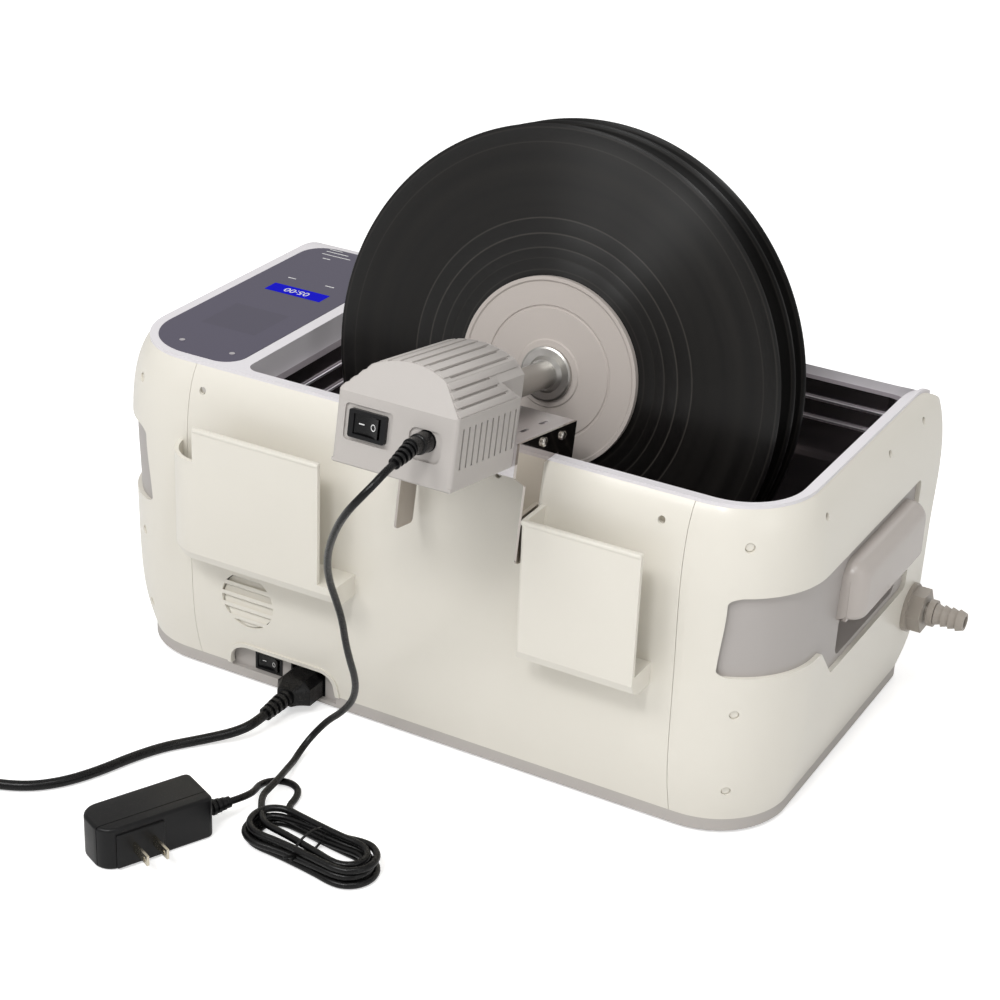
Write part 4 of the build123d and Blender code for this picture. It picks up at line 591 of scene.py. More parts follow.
NODE_FINISHES: dict[Finish, tuple[str, ...]] = {
    CREAM_PAINT: ("rear_panel", "front_panel", "panel_end_shell", "drain_end_shell", "lid_pocket_narrow",
                  "lid_pocket_wide"),
    FRAME_GREY: ("top_frame",),
    BASE_BEIGE: ("base_tray",),
    TRIM_GREY: ("handle_trim_panel", "handle_trim_drain"),
    GRIP_TAUPE: ("handle_grips",),
    DRIVE_GREY: ("drive_housing", "drive_base_plate"),
    PROTECTOR_GREY: ("label_protectors", "spacer_tubes", "clamp_nut"),
    SOCKET_BLACK: ("appliance_inlet", "mains_rocker_frame", "fan_frame", "fan_rotor", "drive_rocker_frame",
                   "dc_jack", "power_adapter"),
    ROCKER_BLACK: ("mains_rocker", "drive_rocker"),
    RUBBER_BLACK: ("rubber_feet", "heater_pad"),
    CORD_BLACK: ("mains_connector", "mains_coil_tie", "mains_plug", "dc_plug", "hank_tie"),
    BOARD_GREEN: ("circuit_boards",),
    FILM_SLATE: ("control_film",),
    DISPLAY_BLUE: ("display_window",),
    BATH_STEEL: ("tank",),
    PLATE_STEEL: ("bracket_plate", "transducers"),
    MIRROR_STEEL: ("bracket_sides",),
    RIM_STEEL: ("panel_screws",),
    NICKEL: ("casing_screws", "bracket_screws", "drain_elbow", "spindle_bearing"),
    SHAFT_GREY: ("spindle_shaft", "shaft_coupling"),
    BARB_BEIGE: ("hose_barb", "drain_nut"),
    BLADE_BRASS: ("adapter_blades",),
    MOTOR_STEEL: ("gear_motor", "motor_output_shaft"),
}


# ------------------------------------------------------------------ modelling by hand
# An edge is upright when its ends differ by more than this in height, and a face is level when
# its normal's Z is beyond this.
UPRIGHT = 0.001
LEVEL = 0.99


class Workpiece:
    """One piece on the bench: a primitive that is shaped in edit mode, then placed and finished."""

    def __init__(self, name: str) -> None:
        """Take the primitive that was just added.

        Args:
            name: The piece's name.
        """
        self.body = bpy.context.object
        self.body.name = name
        self.body.data.name = name

    @staticmethod
    def clear_bench() -> None:
        """Leave edit mode and select nothing."""
        if bpy.context.object is not None and bpy.context.object.mode != "OBJECT":
            bpy.ops.object.mode_set(mode="OBJECT")
        bpy.ops.object.select_all(action="DESELECT")

    @classmethod
    def round_plate(cls, name: str, radius: float, vertices: int) -> "Workpiece":
        """A flat round face about the origin.

        Args:
            name: The piece's name.
            radius: Its radius.
            vertices: Points round its edge.

        Returns:
            The piece on the bench.
        """
        cls.clear_bench()
        bpy.ops.mesh.primitive_circle_add(vertices=vertices, radius=radius, fill_type="NGON")
        return cls(name)

    @classmethod
    def rod(cls, name: str, radius: float, height: float, vertices: int) -> "Workpiece":
        """A round bar that stands on the XY plane.

        Args:
            name: The piece's name.
            radius: Its radius.
            height: Its height.
            vertices: Points round its edge.

        Returns:
            The piece on the bench.
        """
        made = cls.round_plate(name, radius, vertices)
        made.edit()
        made.pick_faces(lambda face: True)
        made.pull((0, 0, height))
        made.leave()
        return made

    @classmethod
    def block(cls, name: str, size: Point, centre: Point = (0, 0, 0)) -> "Workpiece":
        """A block to be cut and rounded.

        Args:
            name: The piece's name.
            size: Its three sides.
            centre: Its middle.

        Returns:
            The piece on the bench.
        """
        cls.clear_bench()
        bpy.ops.mesh.primitive_cube_add(size=1.0)
        made = cls(name)
        made.body.scale = size
        made.body.location = centre
        bpy.ops.object.transform_apply(location=True, rotation=True, scale=True)
        return made

    def edit(self) -> None:
        """Enter edit mode with nothing selected."""
        bpy.context.view_layer.objects.active = self.body
        bpy.ops.object.mode_set(mode="EDIT")
        bpy.ops.mesh.select_all(action="DESELECT")

    def leave(self) -> None:
        """Leave edit mode."""
        bpy.ops.object.mode_set(mode="OBJECT")

    def pick_faces(self, test: Callable[[bmesh.types.BMFace], bool]) -> None:
        """Select the faces that pass a test, and only those.

        Args:
            test: True for a face that is wanted.
        """
        bpy.ops.mesh.select_mode(type="FACE")
        mesh = bmesh.from_edit_mesh(self.body.data)
        for face in mesh.faces:
            face.select_set(bool(test(face)))
        bmesh.update_edit_mesh(self.body.data)

    def pick_edges(self, test: Callable[[bmesh.types.BMEdge], bool]) -> None:
        """Select the edges that pass a test, and only those.

        Args:
            test: True for an edge that is wanted.
        """
        bpy.ops.mesh.select_mode(type="EDGE")
        mesh = bmesh.from_edit_mesh(self.body.data)
        for face in mesh.faces:
            face.select_set(False)
        for edge in mesh.edges:
            edge.select_set(bool(test(edge)))
        bmesh.update_edit_mesh(self.body.data)

    def ring_in(self, thickness: float, rise: float) -> None:
        """Inset the picked faces and move them along Z."""
        bpy.ops.mesh.inset(thickness=thickness, use_even_offset=True)
        bpy.ops.transform.translate(value=(0, 0, rise))

    def pull(self, offset: Point) -> None:
        """Extrude the picked faces by an offset."""
        bpy.ops.mesh.extrude_region_move(TRANSFORM_OT_translate={"value": offset})

    def round_uprights(self, radius: float, segments: int, where: Callable[[Vector], bool]) -> None:
        """Round the upright edges that stand in a given place.

        Args:
            radius: Size of the rounding.
            segments: Faces across it.
            where: True for an edge's end that lies in that place.
        """
        self.pick_edges(lambda edge: abs(edge.verts[0].co.z - edge.verts[1].co.z) > UPRIGHT
                        and where(edge.verts[0].co))
        bpy.ops.mesh.bevel(offset=radius, segments=segments)

    def cut_with(self, tool: "Workpiece", operation: str) -> None:
        """Shape the piece with another one, which is used up.

        Args:
            tool: The other piece.
            operation: DIFFERENCE or INTERSECT.
        """
        self.modify("BOOLEAN", object=tool.body, operation=operation, solver="EXACT")
        bpy.data.objects.remove(tool.body, do_unlink=True)

    def take_in(self, others: Iterable["Workpiece"]) -> None:
        """Join other pieces into this one.

        Args:
            others: The pieces to join.
        """
        self.clear_bench()
        for other in others:
            other.body.select_set(True)
        self.body.select_set(True)
        bpy.context.view_layer.objects.active = self.body
        bpy.ops.object.join()

    def modify(self, kind: str, **settings: object) -> None:
        """Add a modifier and apply it.

        Args:
            kind: The modifier's type.
            **settings: Its settings.
        """
        bpy.context.view_layer.objects.active = self.body
        made = self.body.modifiers.new(kind.lower(), kind)
        for name, value in settings.items():
            setattr(made, name, value)
        bpy.ops.object.modifier_apply(modifier=made.name)

    def place(self, matrix: Matrix) -> None:
        """Move the mesh to its place and leave the object at the origin.

        Args:
            matrix: The place in the machine's frame.
        """
        self.clear_bench()
        self.body.select_set(True)
        bpy.context.view_layer.objects.active = self.body
        self.body.matrix_world = matrix
        bpy.ops.object.transform_apply(location=True, rotation=True, scale=True)

    def finish(self, look: Finish, body: str, slot: str, smooth: float = 35.0) -> bpy.types.Object:
        """Turn the normals outwards, smooth, dress and mount the piece.

        Args:
            look: Its finish.
            body: The moving body that it rides on.
            slot: The record's material slot it stands for; not used.
            smooth: Edges sharper than this angle in degrees stay sharp.

        Returns:
            The finished object.
        """
        self.edit()
        bpy.ops.mesh.select_all(action="SELECT")
        bpy.ops.mesh.normals_make_consistent(inside=False)
        self.leave()
        bpy.ops.object.shade_smooth_by_angle(angle=math.radians(smooth))
        self.body.data.materials.clear()
        self.body.data.materials.append(look.material())
        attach(self.body, body)
        log.info("%s: %d faces on %s", self.body.name, len(self.body.data.polygons), body)
        return self.body


def dress_nodes() -> None:
    """Give every carried-over solid its finish."""
    for look, names in NODE_FINISHES.items():
        material = look.material()
        for name in names:
            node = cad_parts[name]
            node.data.materials.clear()
            node.data.materials.append(material)
        log.info("%s on %s", look.name, ", ".join(names))


# ------------------------------------------------------------------ records
@dataclass
class RecordStack:
    """The three pressed discs on the spindle. Each ring is its radius and half its thickness there."""

    UV_REACH = 0.2

    radius: float = 0.1508
    half: float = 0.0009
    weld: float = 0.00002
    fronts: tuple[float, float, float] = (0.0, -0.02285, -0.0396)
    nodes: tuple[str, str, str] = ("record_outer", "record_middle", "record_inner")
    rings: tuple[tuple[float, float], ...] = (
        (0.1503, 0.00055), (0.1490, 0.00085), (0.1474, 0.00080), (0.1466, 0.00062), (0.1404, 0.00062),
        (0.1398, 0.00068), (0.0954, 0.00068), (0.0950, 0.00060), (0.0944, 0.00060), (0.0940, 0.00068),
        (0.0856, 0.00068), (0.0853, 0.00060), (0.0849, 0.00060), (0.0846, 0.00068), (0.0772, 0.00068),
        (0.0769, 0.00060), (0.0765, 0.00060), (0.0762, 0.00068), (0.0705, 0.00068), (0.0702, 0.00060),
        (0.0698, 0.00060), (0.0695, 0.00068), (0.0640, 0.00068), (0.0630, 0.00060), (0.0520, 0.00060),
        (0.0500, 0.00085), (0.0040, 0.00085))

    def press(self, name: str) -> Workpiece:
        """Model one disc about the origin: rings stepped inwards from the rim, then mirrored.

        Args:
            name: The piece's name.

        Returns:
            The disc, its axis along Z.
        """
        disc = Workpiece.round_plate(name, self.radius, 224)
        disc.edit()
        disc.pick_faces(lambda face: True)
        last_radius, last_height = self.radius, 0.0
        for reach, height in self.rings:
            disc.ring_in(last_radius - reach, height - last_height)
            last_radius, last_height = reach, height
        disc.leave()
        disc.modify("MIRROR", use_axis=(False, False, True), use_clip=True, merge_threshold=self.weld)
        self.wind_map(disc.body.data)
        return disc

    def wind_map(self, mesh: bpy.types.Mesh) -> None:
        """Lay a map round the disc: turn along U, radius along V.

        Args:
            mesh: The disc's mesh, its axis along Z.
        """
        layer = mesh.uv_layers.get("disc") or mesh.uv_layers.new(name="disc")
        for face in mesh.polygons:
            turns = []
            for corner in face.loop_indices:
                point = mesh.vertices[mesh.loops[corner].vertex_index].co
                turns.append((corner, math.atan2(point.y, point.x) / math.tau % 1.0, point.xy.length))
            wraps = max(turn for _, turn, _ in turns) - min(turn for _, turn, _ in turns) > 0.5
            for corner, turn, reach in turns:
                layer.data[corner].uv = (turn + 1 if wraps and turn < 0.5 else turn, reach / self.UV_REACH)

    def build(self) -> None:
        """Model, place and mount the three discs."""
        lay = Matrix.Rotation(math.radians(-90), 4, "X")
        for front, node in zip(self.fronts, self.nodes):
            disc = self.press(f"pressed_{node}")
            disc.place(DRIVE_FRAME @ Matrix.Translation((0, front - self.half, 0)) @ lay)
            made = disc.finish(VINYL_BLACK, "spindle", "vinyl_black", 20.0)
            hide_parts(node)


# ------------------------------------------------------------------ control panel prints
@dataclass
class ControlPanel:
    """What lies on the control film: the display's figures and the printed bars, each x, y, length, width."""

    display: tuple[float, float] = (0.182, -0.00785)
    figure_height: float = 0.0088
    figure_rise: float = 0.00008
    bar_thickness: float = 0.00012
    bar_round: float = 0.3
    print_z: float = TOP_Z + 0.00027
    display_z: float = TOP_Z + 0.00042
    bars: tuple[tuple[float, float, float, float], ...] = (
        (0.1995, -0.0279, 0.0062, 0.0010), (0.1696, -0.0289, 0.0070, 0.0010),
        (0.2007, -0.0725, 0.0062, 0.0010), (0.1974, -0.0800, 0.0233, 0.0009),
        (0.2000, -0.0856, 0.0180, 0.0009), (0.2038, -0.0900, 0.0104, 0.0009))

    def figures(self) -> None:
        """The time on the display, as raised figures."""
        Workpiece.clear_bench()
        bpy.ops.object.text_add()
        text = Workpiece("display_figures")
        text.body.data.body = "05:00"
        text.body.data.size = self.figure_height
        text.body.data.align_x = "CENTER"
        text.body.data.align_y = "CENTER"
        text.body.data.extrude = self.figure_rise
        bpy.ops.object.convert(target="MESH")
        text.place(Matrix.Translation((*self.display, self.display_z)))
        text.finish(MARK_WHITE, "casing", "mark_white")

    def build(self) -> None:
        """Make the figures and the bars, which have rounded corners."""
        self.figures()
        for index, (x, y, length, width) in enumerate(self.bars):
            bar = Workpiece.block(f"film_mark_{index + 1}", (length, width, self.bar_thickness))
            bar.modify("BEVEL", width=width * self.bar_round, segments=3, affect="EDGES",
                       limit_method="ANGLE", angle_limit=math.radians(80), offset_type="WIDTH",
                       use_clamp_overlap=True)
            bar.place(Matrix.Translation((x, y, self.print_z)))
            bar.finish(MARK_WHITE, "casing", "mark_white")


# ------------------------------------------------------------------ rocker marks
@dataclass
class RockerMarks:
    """The line and the ring on a rocker, which lie on its dished face.

    The pivot runs along its own Z. The marks' sizes are shares of the rocker's half height and of
    the ring's radius.
    """

    name: str
    body: str
    pivot: Matrix
    half_width: float
    half_height: float
    rise: float = 0.0036
    dish: float = 0.0017
    throw: float = math.radians(-8.0)
    ring_share: float = 0.36
    stroke_share: float = 0.26
    line_length: float = 1.7
    line_width: float = 0.32
    line_round: float = 0.08
    thickness: float = 0.00012
    ring_rise: float = 0.00008
    stand: float = 0.00003
    line_lift: float = 0.00004

    def seat(self, x: float) -> Matrix:
        """Where a mark lies: on the face at x, its own Z pointing out of the face.

        Args:
            x: Place along the rocker, from the pivot.

        Returns:
            The place in the machine's frame.
        """
        share = x / self.half_width
        height = self.rise - self.dish * (1 - share * share)
        slope = math.atan(2 * self.dish * x / self.half_width**2)
        turned = self.pivot @ Matrix.Rotation(self.throw, 4, "Z")
        lifted = turned @ Matrix.Translation((x, height + self.stand, 0))
        return lifted @ Matrix.Rotation(slope, 4, "Z") @ Matrix.Rotation(math.radians(-90), 4, "X")

    def build(self) -> None:
        """Make the ring at one end and the line at the other."""
        radius = self.half_height * self.ring_share
        ring = Workpiece.round_plate(f"{self.name}_ring", radius, 40)
        ring.edit()
        ring.pick_faces(lambda face: True)
        bpy.ops.mesh.inset(thickness=radius * self.stroke_share)
        bpy.ops.mesh.delete(type="FACE")
        ring.pick_faces(lambda face: True)
        ring.pull((0, 0, self.ring_rise))
        ring.leave()
        ring.place(self.seat(-self.half_width / 2))
        ring.finish(MARK_WHITE, self.body, "mark_white")
        size = (radius * self.line_length, radius * self.line_width, self.thickness)
        line = Workpiece.block(f"{self.name}_line", size, (0, 0, self.line_lift))
        line.modify("BEVEL", width=radius * self.line_round, segments=2)
        line.place(self.seat(self.half_width / 2))
        line.finish(MARK_WHITE, self.body, "mark_white")


# ------------------------------------------------------------------ casing details
@dataclass
class HandleGrips:
    """The two soft-cornered grips, modelled at one end and mirrored to the other."""

    size: Point = (0.0158, 0.114, 0.038)
    centre: Point = (0.2463, -0.016, 0.141)
    top_round: float = 0.0115
    low_round: float = 0.005
    cheek: float = 0.0065
    depth: float = 0.027
    reach_back: float = 0.012
    slack: float = 0.0001

    def build(self) -> None:
        """Round the front, hollow the underside and mirror the grip."""
        grip = Workpiece.block("soft_handle_grips", self.size, self.centre)
        front = self.centre[0] + self.size[0] / 2 - self.slack
        low = self.centre[2] - self.size[2] / 2 + self.slack
        grip.edit()
        grip.pick_edges(lambda edge: any(v.co.x > front for v in edge.verts)
                        and any(v.co.z > low for v in edge.verts))
        bpy.ops.mesh.bevel(offset=self.top_round, segments=8, profile=0.5)
        grip.pick_edges(lambda edge: all(v.co.x > front - self.reach_back and v.co.z < low
                                         for v in edge.verts))
        bpy.ops.mesh.bevel(offset=self.low_round, segments=5, profile=0.5)
        grip.pick_faces(lambda face: face.normal.z < -LEVEL)
        bpy.ops.mesh.inset(thickness=self.cheek, use_even_offset=True)
        grip.pull((0, 0, self.depth))
        grip.leave()
        grip.modify("MIRROR", use_axis=(True, False, False))
        made = grip.finish(GRIP_TAUPE, "casing", "grip_taupe", 40.0)
        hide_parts("handle_grips")


@dataclass
class VentLouvres:
    """Sloping slats behind the round grille, which hide the fan from above."""

    centre: Point = (0.1253, 0.1313, 0.0626)
    radius: float = 0.0192
    pitch: float = 0.00792
    slat: Point = (0.042, 0.0010, 0.0086)
    lean: float = 17.0
    count: int = 5
    raised: float = 0.0033
    trim_depth: float = 0.02

    def build(self) -> None:
        """Repeat one slat and trim the stack to the round grille."""
        slats = Workpiece.block("vent_louvres", self.slat)
        slats.place(Matrix.Rotation(math.radians(self.lean), 4, "X"))
        slats.modify("ARRAY", count=self.count, use_relative_offset=False, use_constant_offset=True,
                     constant_offset_displace=(0, 0, self.pitch))
        trim = Workpiece.rod("vent_trim", self.radius, self.trim_depth, 64)
        middle = self.pitch * (self.count - 1) / 2 + self.raised
        trim.place(Matrix.Translation((0, self.trim_depth / 2, middle))
                   @ Matrix.Rotation(math.radians(90), 4, "X"))
        slats.cut_with(trim, "INTERSECT")
        slats.place(Matrix.Translation((*self.centre[:2], self.centre[2] - middle + self.raised)))
        slats.finish(CREAM_PAINT, "casing", "casing_cream", 20.0)


@dataclass
class CornerPlugs:
    """Sunk plugs that close the screw holes in the rear corners.

    Each of the heights comes with the reach of the skin there from the corner's own axis.
    """

    corner: tuple[float, float] = (0.18075, 0.0744)
    heights: tuple[tuple[float, float], ...] = ((0.1988, 0.0586), (0.0898, 0.0602), (0.0349, 0.0567))
    angle: float = 58.0
    radius: float = 0.00285
    length: float = 0.0009
    edge: float = 0.0005
    dome: float = 0.0004
    sink: float = 0.0024

    def plug(self) -> Workpiece:
        """One plug about the origin, with a soft edge.

        Returns:
            The plug, its face up.
        """
        plug = Workpiece.rod("corner_plugs", self.radius, self.length, 28)
        plug.edit()
        plug.pick_faces(lambda face: face.normal.z > LEVEL)
        plug.ring_in(self.edge, self.dome)
        plug.leave()
        return plug

    def build(self) -> None:
        """Set one plug per hole and join them."""
        plugs = []
        for side in (-1, 1):
            for height, reach in self.heights:
                plug = self.plug()
                turn = math.radians(self.angle if side > 0 else 180 - self.angle)
                out = Vector((math.cos(turn), math.sin(turn), 0))
                spot = Vector((side * self.corner[0], self.corner[1], height)) + out * (reach - self.sink)
                plug.place(Matrix.Translation(spot) @ out.to_track_quat("Z", "Y").to_matrix().to_4x4())
                plugs.append(plug)
        plugs[0].take_in(plugs[1:])
        plugs[0].finish(CREAM_PAINT, "casing", "casing_cream")


@dataclass
class PocketLips:
    """Rounded lips along the top edges of the two lid pockets, each from x to x at its height."""

    section: tuple[float, float] = (0.0036, 0.0034)
    spans: tuple[Point, ...] = ((-0.1615, -0.0842, 0.195), (0.055, 0.148, 0.193))
    middle_y: float = 0.1582
    overhang: float = 0.0003
    stand: float = 0.0002
    soft: float = 0.0014

    def build(self) -> None:
        """Make one rounded bar per pocket."""
        for index, (low_x, high_x, top) in enumerate(self.spans):
            size = (high_x - low_x + 2 * self.overhang, *self.section)
            lip = Workpiece.block(f"pocket_lip_{index + 1}", size)
            lip.modify("BEVEL", width=self.soft, segments=5)
            height = top + self.stand - self.section[1] / 2
            lip.place(Matrix.Translation(((low_x + high_x) / 2, self.middle_y, height)))
            lip.finish(CREAM_PAINT, "casing", "casing_cream")


# ------------------------------------------------------------------ drive details
@dataclass
class BracketScrews:
    """Pan heads with a cross recess on both sides of the bracket."""

    radius: float = 0.0029
    reach: float = 0.04152
    spots: tuple[tuple[float, float], ...] = ((0.083, -0.017), (0.059, -0.018))
    rim: float = 0.0010
    dome: tuple[tuple[float, float], ...] = ((0.0003, 0.0004), (0.0006, 0.0004), (0.0009, 0.0002))
    slot: Point = (0.0034, 0.0007, 0.0018)
    slot_height: float = 0.0021

    def head(self) -> Workpiece:
        """One screw head about the origin, seated on its XY plane.

        Returns:
            The head, its recess up.
        """
        head = Workpiece.rod("cross_head_screws", self.radius, self.rim, 36)
        head.edit()
        head.pick_faces(lambda face: face.normal.z > LEVEL)
        for thickness, rise in self.dome:
            head.ring_in(thickness, rise)
        head.leave()
        for turn in (45.0, 135.0):
            bar = Workpiece.block("cross_tool", self.slot, (0, 0, self.slot_height))
            bar.place(Matrix.Rotation(math.radians(turn), 4, "Z"))
            head.cut_with(bar, "DIFFERENCE")
        return head

    def build(self) -> None:
        """Place a head on every screw and join them."""
        heads = []
        for side in (-1, 1):
            for along, height in self.spots:
                head = self.head()
                head.place(DRIVE_FRAME @ Matrix.Translation((side * self.reach, along, height))
                           @ Matrix.Rotation(math.radians(side * 90), 4, "Y"))
                heads.append(head)
        heads[0].take_in(heads[1:])
        made = heads[0].finish(NICKEL, "drive_unit", "nickel", 25.0)
        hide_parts("bracket_screws")


@dataclass
class CrownRibs:
    """Raised flat ribs between the grooves on top of the drive housing.

    Lengths run along the spindle and heights from its axis. The slopes' ribs start at the nose, or
    further back where the shoulder cuts them off.
    """

    arch_radius: float = 0.0544
    arch_top: float = 0.0353
    arch_angles: tuple[float, ...] = (-19.0, -11.4, -3.8, 3.8, 11.4, 19.0)
    arch_width: float = 0.0054
    slope_foot: tuple[float, float] = (0.0382, 0.0142)
    slope_head: tuple[float, float] = (0.0230, 0.0302)
    slope_shares: tuple[float, ...] = (0.13, 0.375, 0.625, 0.87)
    slope_width: float = 0.0040
    slope_short: float = 0.0008
    thickness: float = 0.0014
    soft: float = 0.0003
    nose: float = 0.0975
    nose_half: float = 0.028
    shoulder: float = 0.1145
    shoulder_run: float = 1.126
    rear: float = 0.170
    rear_height: float = 0.0373
    rear_run: float = 0.576
    rear_gap: float = 0.0003

    def bar(self, seat: Matrix, start: float, end: float, width: float) -> Workpiece:
        """One rib with softened edges.

        Args:
            seat: The place across the crown, its Z square to the surface.
            start: Where it starts along the spindle.
            end: Where it ends.
            width: Its width.

        Returns:
            The placed rib.
        """
        bar = Workpiece.block("crown_ribs", (width, end - start, self.thickness))
        bar.modify("BEVEL", width=self.soft, segments=2)
        bar.place(DRIVE_FRAME @ Matrix.Translation((0, (start + end) / 2, 0)) @ seat)
        return bar

    def rear_end(self, height: float) -> float:
        """Where the sloping rear face cuts a rib at this height."""
        return self.rear + (self.rear_height - height) * self.rear_run - self.rear_gap

    def build(self) -> None:
        """Lay the ribs over the arch and both slopes."""
        ribs = []
        for angle in self.arch_angles:
            turn = math.radians(angle)
            axis = Matrix.Translation((0, 0, self.arch_top - self.arch_radius))
            seat = axis @ Matrix.Rotation(turn, 4, "Y") @ Matrix.Translation((0, 0, self.arch_radius))
            height = self.arch_top - self.arch_radius * (1 - math.cos(turn))
            ribs.append(self.bar(seat, self.nose, self.rear_end(height), self.arch_width))
        foot, head = Vector(self.slope_foot), Vector(self.slope_head)
        tilt = math.atan2(head.y - foot.y, foot.x - head.x)
        for side in (-1, 1):
            for share in self.slope_shares:
                across, height = foot.lerp(head, share)
                cut_off = self.shoulder + (height - foot.y) * self.shoulder_run
                start = self.nose if across < self.nose_half else cut_off
                seat = Matrix.Translation((side * across, 0, height)) @ Matrix.Rotation(side * tilt, 4, "Y")
                ribs.append(self.bar(seat, start, self.rear_end(height) - self.slope_short, self.slope_width))
        ribs[0].take_in(ribs[1:])
        ribs[0].finish(DRIVE_GREY, "drive_unit", "drive_grey")


# ------------------------------------------------------------------ bath and adapter
@dataclass
class BathBeads:
    """Rolled beads that run round the bath wall below the rim."""

    low: tuple[float, float] = (-0.21795, -0.1117)
    high: tuple[float, float] = (0.1308, 0.11165)
    section: float = 0.0022
    levels: tuple[float, ...] = (0.1905, 0.1765)
    corner: float = 0.0325
    small_corner: float = 0.0135
    soft_share: float = 0.4

    def build(self) -> None:
        """Pull one thin rounded band per level."""
        size = (self.high[0] - self.low[0], self.high[1] - self.low[1], self.section)
        middle_x, middle_y = (self.low[0] + self.high[0]) / 2, (self.low[1] + self.high[1]) / 2
        for index, level in enumerate(self.levels):
            band = Workpiece.block(f"bath_bead_{index + 1}", size, (middle_x, middle_y, level))
            band.edit()
            band.round_uprights(self.corner, 14, lambda foot: foot.x < middle_x and foot.y > middle_y)
            band.round_uprights(self.small_corner, 8, lambda foot: foot.x < middle_x and foot.y < middle_y)
            band.pick_faces(lambda face: abs(face.normal.z) > LEVEL)
            bpy.ops.mesh.delete(type="FACE")
            band.leave()
            band.modify("SOLIDIFY", thickness=self.section, offset=-1.0)
            band.modify("BEVEL", width=self.section * self.soft_share, segments=4)
            band.finish(RIM_STEEL, "casing", "bath_steel", 60.0)


@dataclass
class PowerAdapter:
    """The plug-in adapter: a soft-edged case in two halves, its blade pad and its strain relief.

    It is modelled with its lead's end at x = 0, its blades' side at y = 0 and its underside at z = 0.
    """

    corner: Point = (0.0456, 0.2825, 0.0)
    turn: float = 244.4
    size: Point = (0.073, 0.032, 0.028)
    far_round: float = 0.0115
    near_round: float = 0.004
    edge_round: float = 0.0022
    seam: float = 0.0082
    seam_tool: Point = (0.09, 0.0005, 0.04)
    pad_size: Point = (0.031, 0.0026, 0.0225)
    pad_inset: float = 0.0245
    pad_stand: float = 0.0003
    pad_height: float = 0.01275
    pad_round: float = 0.0007
    relief: float = 0.0170
    relief_spot: Point = (-0.0005, 0.012, 0.012)
    thick: float = 0.0050
    thin: float = 0.0031
    core_slack: float = 0.0001
    collar_share: float = 0.8
    ribs: int = 4
    rib_share: float = 0.6
    rib_start: float = 0.45
    rib_stand: float = 0.0004

    def case(self) -> Workpiece:
        """The case with its rounded far end, split at the seam.

        Returns:
            The case.
        """
        length, width, height = self.size
        case = Workpiece.block("adapter_case", self.size, (-length / 2, width / 2, height / 2))
        case.edit()
        case.round_uprights(self.far_round, 10, lambda foot: foot.x < -length / 2)
        case.round_uprights(self.near_round, 5, lambda foot: foot.x > -length / 2)
        case.leave()
        case.modify("BEVEL", width=self.edge_round, segments=5, limit_method="ANGLE",
                    angle_limit=math.radians(60))
        case.cut_with(Workpiece.block("seam_tool", self.seam_tool, (-length / 2, self.seam, height / 2)),
                      "DIFFERENCE")
        return case

    def blade_pad(self) -> Workpiece:
        """The raised pad round the blades.

        Returns:
            The pad.
        """
        pad = Workpiece.block("blade_pad", self.pad_size,
                              (-self.size[0] + self.pad_inset, -self.pad_stand, self.pad_height))
        pad.modify("BEVEL", width=self.pad_round, segments=3)
        return pad

    def strain_relief(self) -> Workpiece:
        """A thin core, a collar and ribs that get smaller towards the lead.

        Returns:
            The sleeve.
        """
        pitch = self.relief / (self.ribs + 1)
        rings = [(self.thin + self.core_slack, 0.0, self.relief),
                 (self.thick, 0.0, pitch * self.collar_share)]
        rings += [(self.thick + self.rib_stand + (self.thin - self.thick) * step / self.ribs,
                   pitch * (step + self.rib_start), pitch * self.rib_share)
                  for step in range(1, self.ribs + 1)]
        sleeve = []
        for radius, start, run in rings:
            ring = Workpiece.rod("adapter_sleeve", radius, run, 32)
            ring.place(Matrix.Translation(self.relief_spot) @ Matrix.Rotation(math.radians(90), 4, "Y")
                       @ Matrix.Translation((0, 0, start)))
            sleeve.append(ring)
        sleeve[0].take_in(sleeve[1:])
        return sleeve[0]

    def build(self) -> bpy.types.Object:
        """Join the case, the pad and the sleeve, and lay the adapter on the table.

        Returns:
            The finished adapter.
        """
        pad = self.blade_pad()
        case = self.case()
        case.take_in([pad, self.strain_relief()])
        case.place(Matrix.Translation(self.corner) @ Matrix.Rotation(math.radians(self.turn), 4, "Z"))
        made = case.finish(SOCKET_BLACK, "drive_unit", "socket_black", 40.0)
        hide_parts("power_adapter")
        return made


# ------------------------------------------------------------------ cords
MAINS_ROUTE = (
    (0.0882, 0.168, 0.011), (0.08873, 0.17744, 0.01008), (0.0923, 0.186, 0.0083),
    (0.0983, 0.1928, 0.0063), (0.107, 0.2005, 0.0043), (0.1166, 0.2112, 0.0034),
    (0.1266, 0.2241, 0.0033), (0.1359, 0.2444, 0.0034), (0.1436, 0.268, 0.0033),
    (0.1536, 0.2885, 0.0034), (0.1675, 0.3034, 0.0033), (0.1855, 0.3124, 0.0034),
    (0.2045, 0.3168, 0.0033),
)
TAIL_ROUTE = (
    (0.24, 0.3235, 0.0164), (0.251, 0.3274, 0.0165), (0.263, 0.3314, 0.016), (0.275, 0.3354, 0.013),
    (0.287, 0.3364, 0.0084), (0.298, 0.332, 0.0046), (0.306, 0.322, 0.0034),
    (0.3095, 0.309, 0.0044), (0.31, 0.296, 0.0076), (0.31, 0.283, 0.0114), (0.31, 0.271, 0.0122),
)
